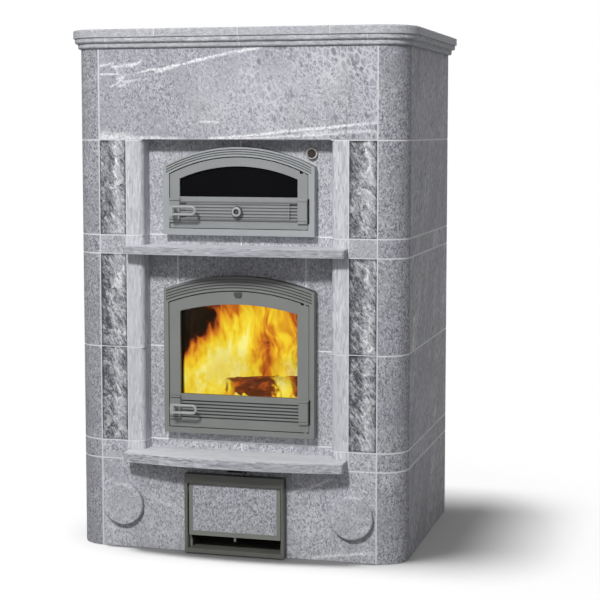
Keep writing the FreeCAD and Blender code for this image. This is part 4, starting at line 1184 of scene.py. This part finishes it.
FLAME_LEFT_END = (-0.197, -0.191)
FLAME_RIGHT_END = (0.245, 0.200)
FLAME_RAG = 0.13
EDGE_COOL = 0.45
LICK_HEIGHT = 0.28
FLAME_RIPPLE = 0.012
FLAME_CELLS = (78, 60)
FIREBOX_HALF = 0.195


def ramp(share, steps):
    """Colour from a scale of steps, each a share and a seen colour."""
    made = add_node("ValToRGB", {0: share})
    stops = made.color_ramp.elements
    while len(stops) < len(steps):
        stops.new(0.5)
    for stop, (place, colour) in zip(stops, steps):
        stop.position = place
        stop.color = tone(*colour)
    return made.outputs[0]


def burning_wood(name, cell, glow_low, glow_high):
    """Charred wood whose cracks glow; cell is the number of cracks to the metre along each axis."""
    glow = {"Emission Strength": 1.0}
    finish, shader, place = new_finish(name, shine=0.1, rough=0.9, others=glow)
    along = add_node("Mapping", {"Vector": place, "Scale": cell}).outputs[0]
    crust = grain(along, 1.0, 5.0, 0.65, 0.6)
    blotch = grain(place, BLOTCHES_PER_M, 3.0, 0.6)
    heat = calc("ADD", crust, calc("MULTIPLY_ADD", blotch, 0.8, -0.4))
    heat = spread(heat, glow_low, glow_high)
    charred = mixed(spread(crust, 0.38, 0.66), CHAR, BURNT_BARK)
    glowing = mixed(heat, DULL_RED, GLOW)
    feed(shader, {"Base Color": charred, "Emission Color": glowing})
    set_bump(shader, crust, 0.8, 0.004)
    return finish


def split_logs():
    """Logs split along one side, roughened and laid on each other."""
    form = bmesh.new()
    for length, radius, middle, turn, tilt, roll in LOGS:
        log = bmesh.new()
        along = Matrix.Rotation(math.pi / 2, 4, "Y")
        sizes = {"radius1": radius, "radius2": radius * LOG_TAPER, "depth": length}
        bmesh.ops.create_cone(log, cap_ends=True, segments=LOG_SIDES, matrix=along, **sizes)
        bmesh.ops.bisect_plane(
            log,
            geom=log.verts[:] + log.edges[:] + log.faces[:],
            plane_co=(0, 0, radius * LOG_SPLIT),
            plane_no=(0, 0.15, 1),
            clear_outer=True,
        )
        bmesh.ops.holes_fill(log, edges=[e for e in log.edges if e.is_boundary])
        long_edges = [e for e in log.edges if e.calc_length() > length / 2]
        bmesh.ops.subdivide_edges(log, edges=long_edges, cuts=LOG_CUTS, use_grid_fill=True)
        for vert in log.verts:
            knots = noise.noise(vert.co * 30 + Vector(middle) * 50) + 0.5 * noise.noise(vert.co * 90)
            vert.co.yz *= 1 + LOG_KNOTS * knots
        turned = Matrix.Rotation(math.radians(turn), 4, "Z") @ Matrix.Rotation(math.radians(tilt), 4, "Y")
        turned = turned @ Matrix.Rotation(math.radians(roll), 4, "X")
        bmesh.ops.transform(log, matrix=Matrix.Translation(middle) @ turned, verts=log.verts)
        bmesh.ops.recalc_face_normals(log, faces=log.faces)
        joined = bpy.data.meshes.new("log")
        log.to_mesh(joined)
        log.free()
        form.from_mesh(joined)
        bpy.data.meshes.remove(joined)
    return form


def ember_bed():
    """Low mound of embers over the grate, thick enough to hide it."""
    low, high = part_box("fire_grate")
    form = bmesh.new()
    middle = (low + high) / 2
    shape = Matrix.Translation((0, middle.y, high.z))
    shape = shape @ Matrix.Diagonal((2 * EMBER_HALF, 2 * EMBER_HALF, 1, 1))
    counts = {"x_segments": EMBER_CELLS, "y_segments": EMBER_CELLS}
    top = bmesh.ops.create_grid(form, size=0.5, matrix=shape, **counts)["verts"]
    for vert in top:
        out = max(abs(vert.co.x), abs(vert.co.y - middle.y)) / EMBER_HALF
        lumps = 0.5 + 0.5 * noise.noise(vert.co * 55) + 0.3 * noise.noise(vert.co * 120)
        vert.co.z += EMBER_HEIGHT * (1 - out**2) * (0.55 + 0.45 * lumps) + EMBER_CLEAR
    rim = [e for e in form.edges if e.is_boundary]
    bmesh.ops.edgeloop_fill(form, edges=rim)
    bmesh.ops.recalc_face_normals(form, faces=form.faces)
    return form


def flame_finish(name, warmth, wisps_only):
    """Glow of a sheet of flame, hotter and cooler about its spots, and clear where it is cool."""
    glow_only = {"Emission Strength": 1.0, "Base Color": (0, 0, 0, 1)}
    finish, shader, place = new_finish(name, shine=0.0, rough=1.0, others=glow_only)
    spot = axes(place)
    swayed = stirred(place, SWAYS_PER_M, 1.0, FLAME_SWAY)
    tongues = add_node("Mapping", {"Vector": swayed, "Scale": TONGUES_PER_M}).outputs[0]
    licks = add_node("Mapping", {"Vector": swayed, "Scale": LICKS_PER_M}).outputs[0]
    broad = grain(tongues, 1.0, 3.0, 0.55, 1.4)
    strands = grain(licks, 1.0, 3.0, 0.55, 1.6)
    heat = weighed([(broad, 1.0), (strands, 0.7)], warmth)
    for (x, z), (half_x, half_z), change in FLAME_SPOTS:
        aside = calc("DIVIDE", calc("SUBTRACT", spot["X"], x), half_x)
        above = calc("DIVIDE", calc("SUBTRACT", spot["Z"], z), half_z)
        off = calc("MULTIPLY_ADD", aside, aside, product(above, above))
        off = calc("SQRT", off)
        heat = calc("ADD", heat, spread(off, 0.0, SPOT_REACH, change, 0.0))
    show = spread(heat, *FLAME_SHOWN)
    frayed = calc("MULTIPLY_ADD", strands, FLAME_RAG, spot["X"])
    right = spread(frayed, *FLAME_RIGHT_END)
    left = spread(spot["X"], *FLAME_LEFT_END)
    edge = product(left, right)
    if wisps_only:
        aside = calc("ABSOLUTE", calc("SUBTRACT", frayed, LOG_BARE))
        edge = product(edge, spread(aside, *LOG_COVERED))
        show = product(spread(broad, *WISP_GAPS), spread(spot["Z"], *WISP_TOP))
    show = product(show, edge)
    heat = calc("MULTIPLY_ADD", calc("SUBTRACT", edge, 1.0), EDGE_COOL, heat)
    feed(shader, {"Emission Color": ramp(heat, FLAME_STEPS), "Alpha": show})
    return finish


def flame_sheet(middle, bow, foot, head, reach):
    """Upright sheet, bent towards the front at the left and rippled, with tongues that lick at its foot."""
    form = bmesh.new()
    centre = (0, middle, (foot + head) / 2)
    for vert in upright_grid(form, centre, 2 * FIREBOX_HALF, head - foot, *FLAME_CELLS):
        x, _, z = vert.co
        left = max(0.0, -x / FIREBOX_HALF)
        low = max(0.0, 1 - (z - foot) / LICK_HEIGHT)
        lick = reach * low * noise.fractal(Vector((x * 24, middle * 50, z * 9)), 0.7, 2.0, 3)
        ripple = FLAME_RIPPLE * noise.noise(vert.co * 14)
        vert.co.y += (1 - left) * (ripple + lick) - bow * left**1.6
    return form


wood = burning_wood("burning_wood", cell=(30.0, 60.0, 60.0), glow_low=0.56, glow_high=0.90)
coals = burning_wood("embers", cell=(60.0, 60.0, 60.0), glow_low=0.36, glow_high=0.66)
fire_pieces = (
    (split_logs(), "burning_logs", wood),
    (ember_bed(), "ember_bed", coals),
    (flame_sheet(**FLAME_BACK), "back_flames", flame_finish("back_flames", warmth=0.66, wisps_only=False)),
    (flame_sheet(**FLAME_FRONT), "front_flames", flame_finish("front_flames", warmth=0.50, wisps_only=True)),
)
for form, name, finish in fire_pieces:
    as_piece(form, name, [finish], "heater")


# Visual model's size beside the CAD box, for comparing the two.
# Both are plain lists of the lowest and highest corners in metres.
boxes = {"cad": cad_box, "visual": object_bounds()}
sizes = {name: [[float(value) for value in corner] for corner in pair] for name, pair in boxes.items()}
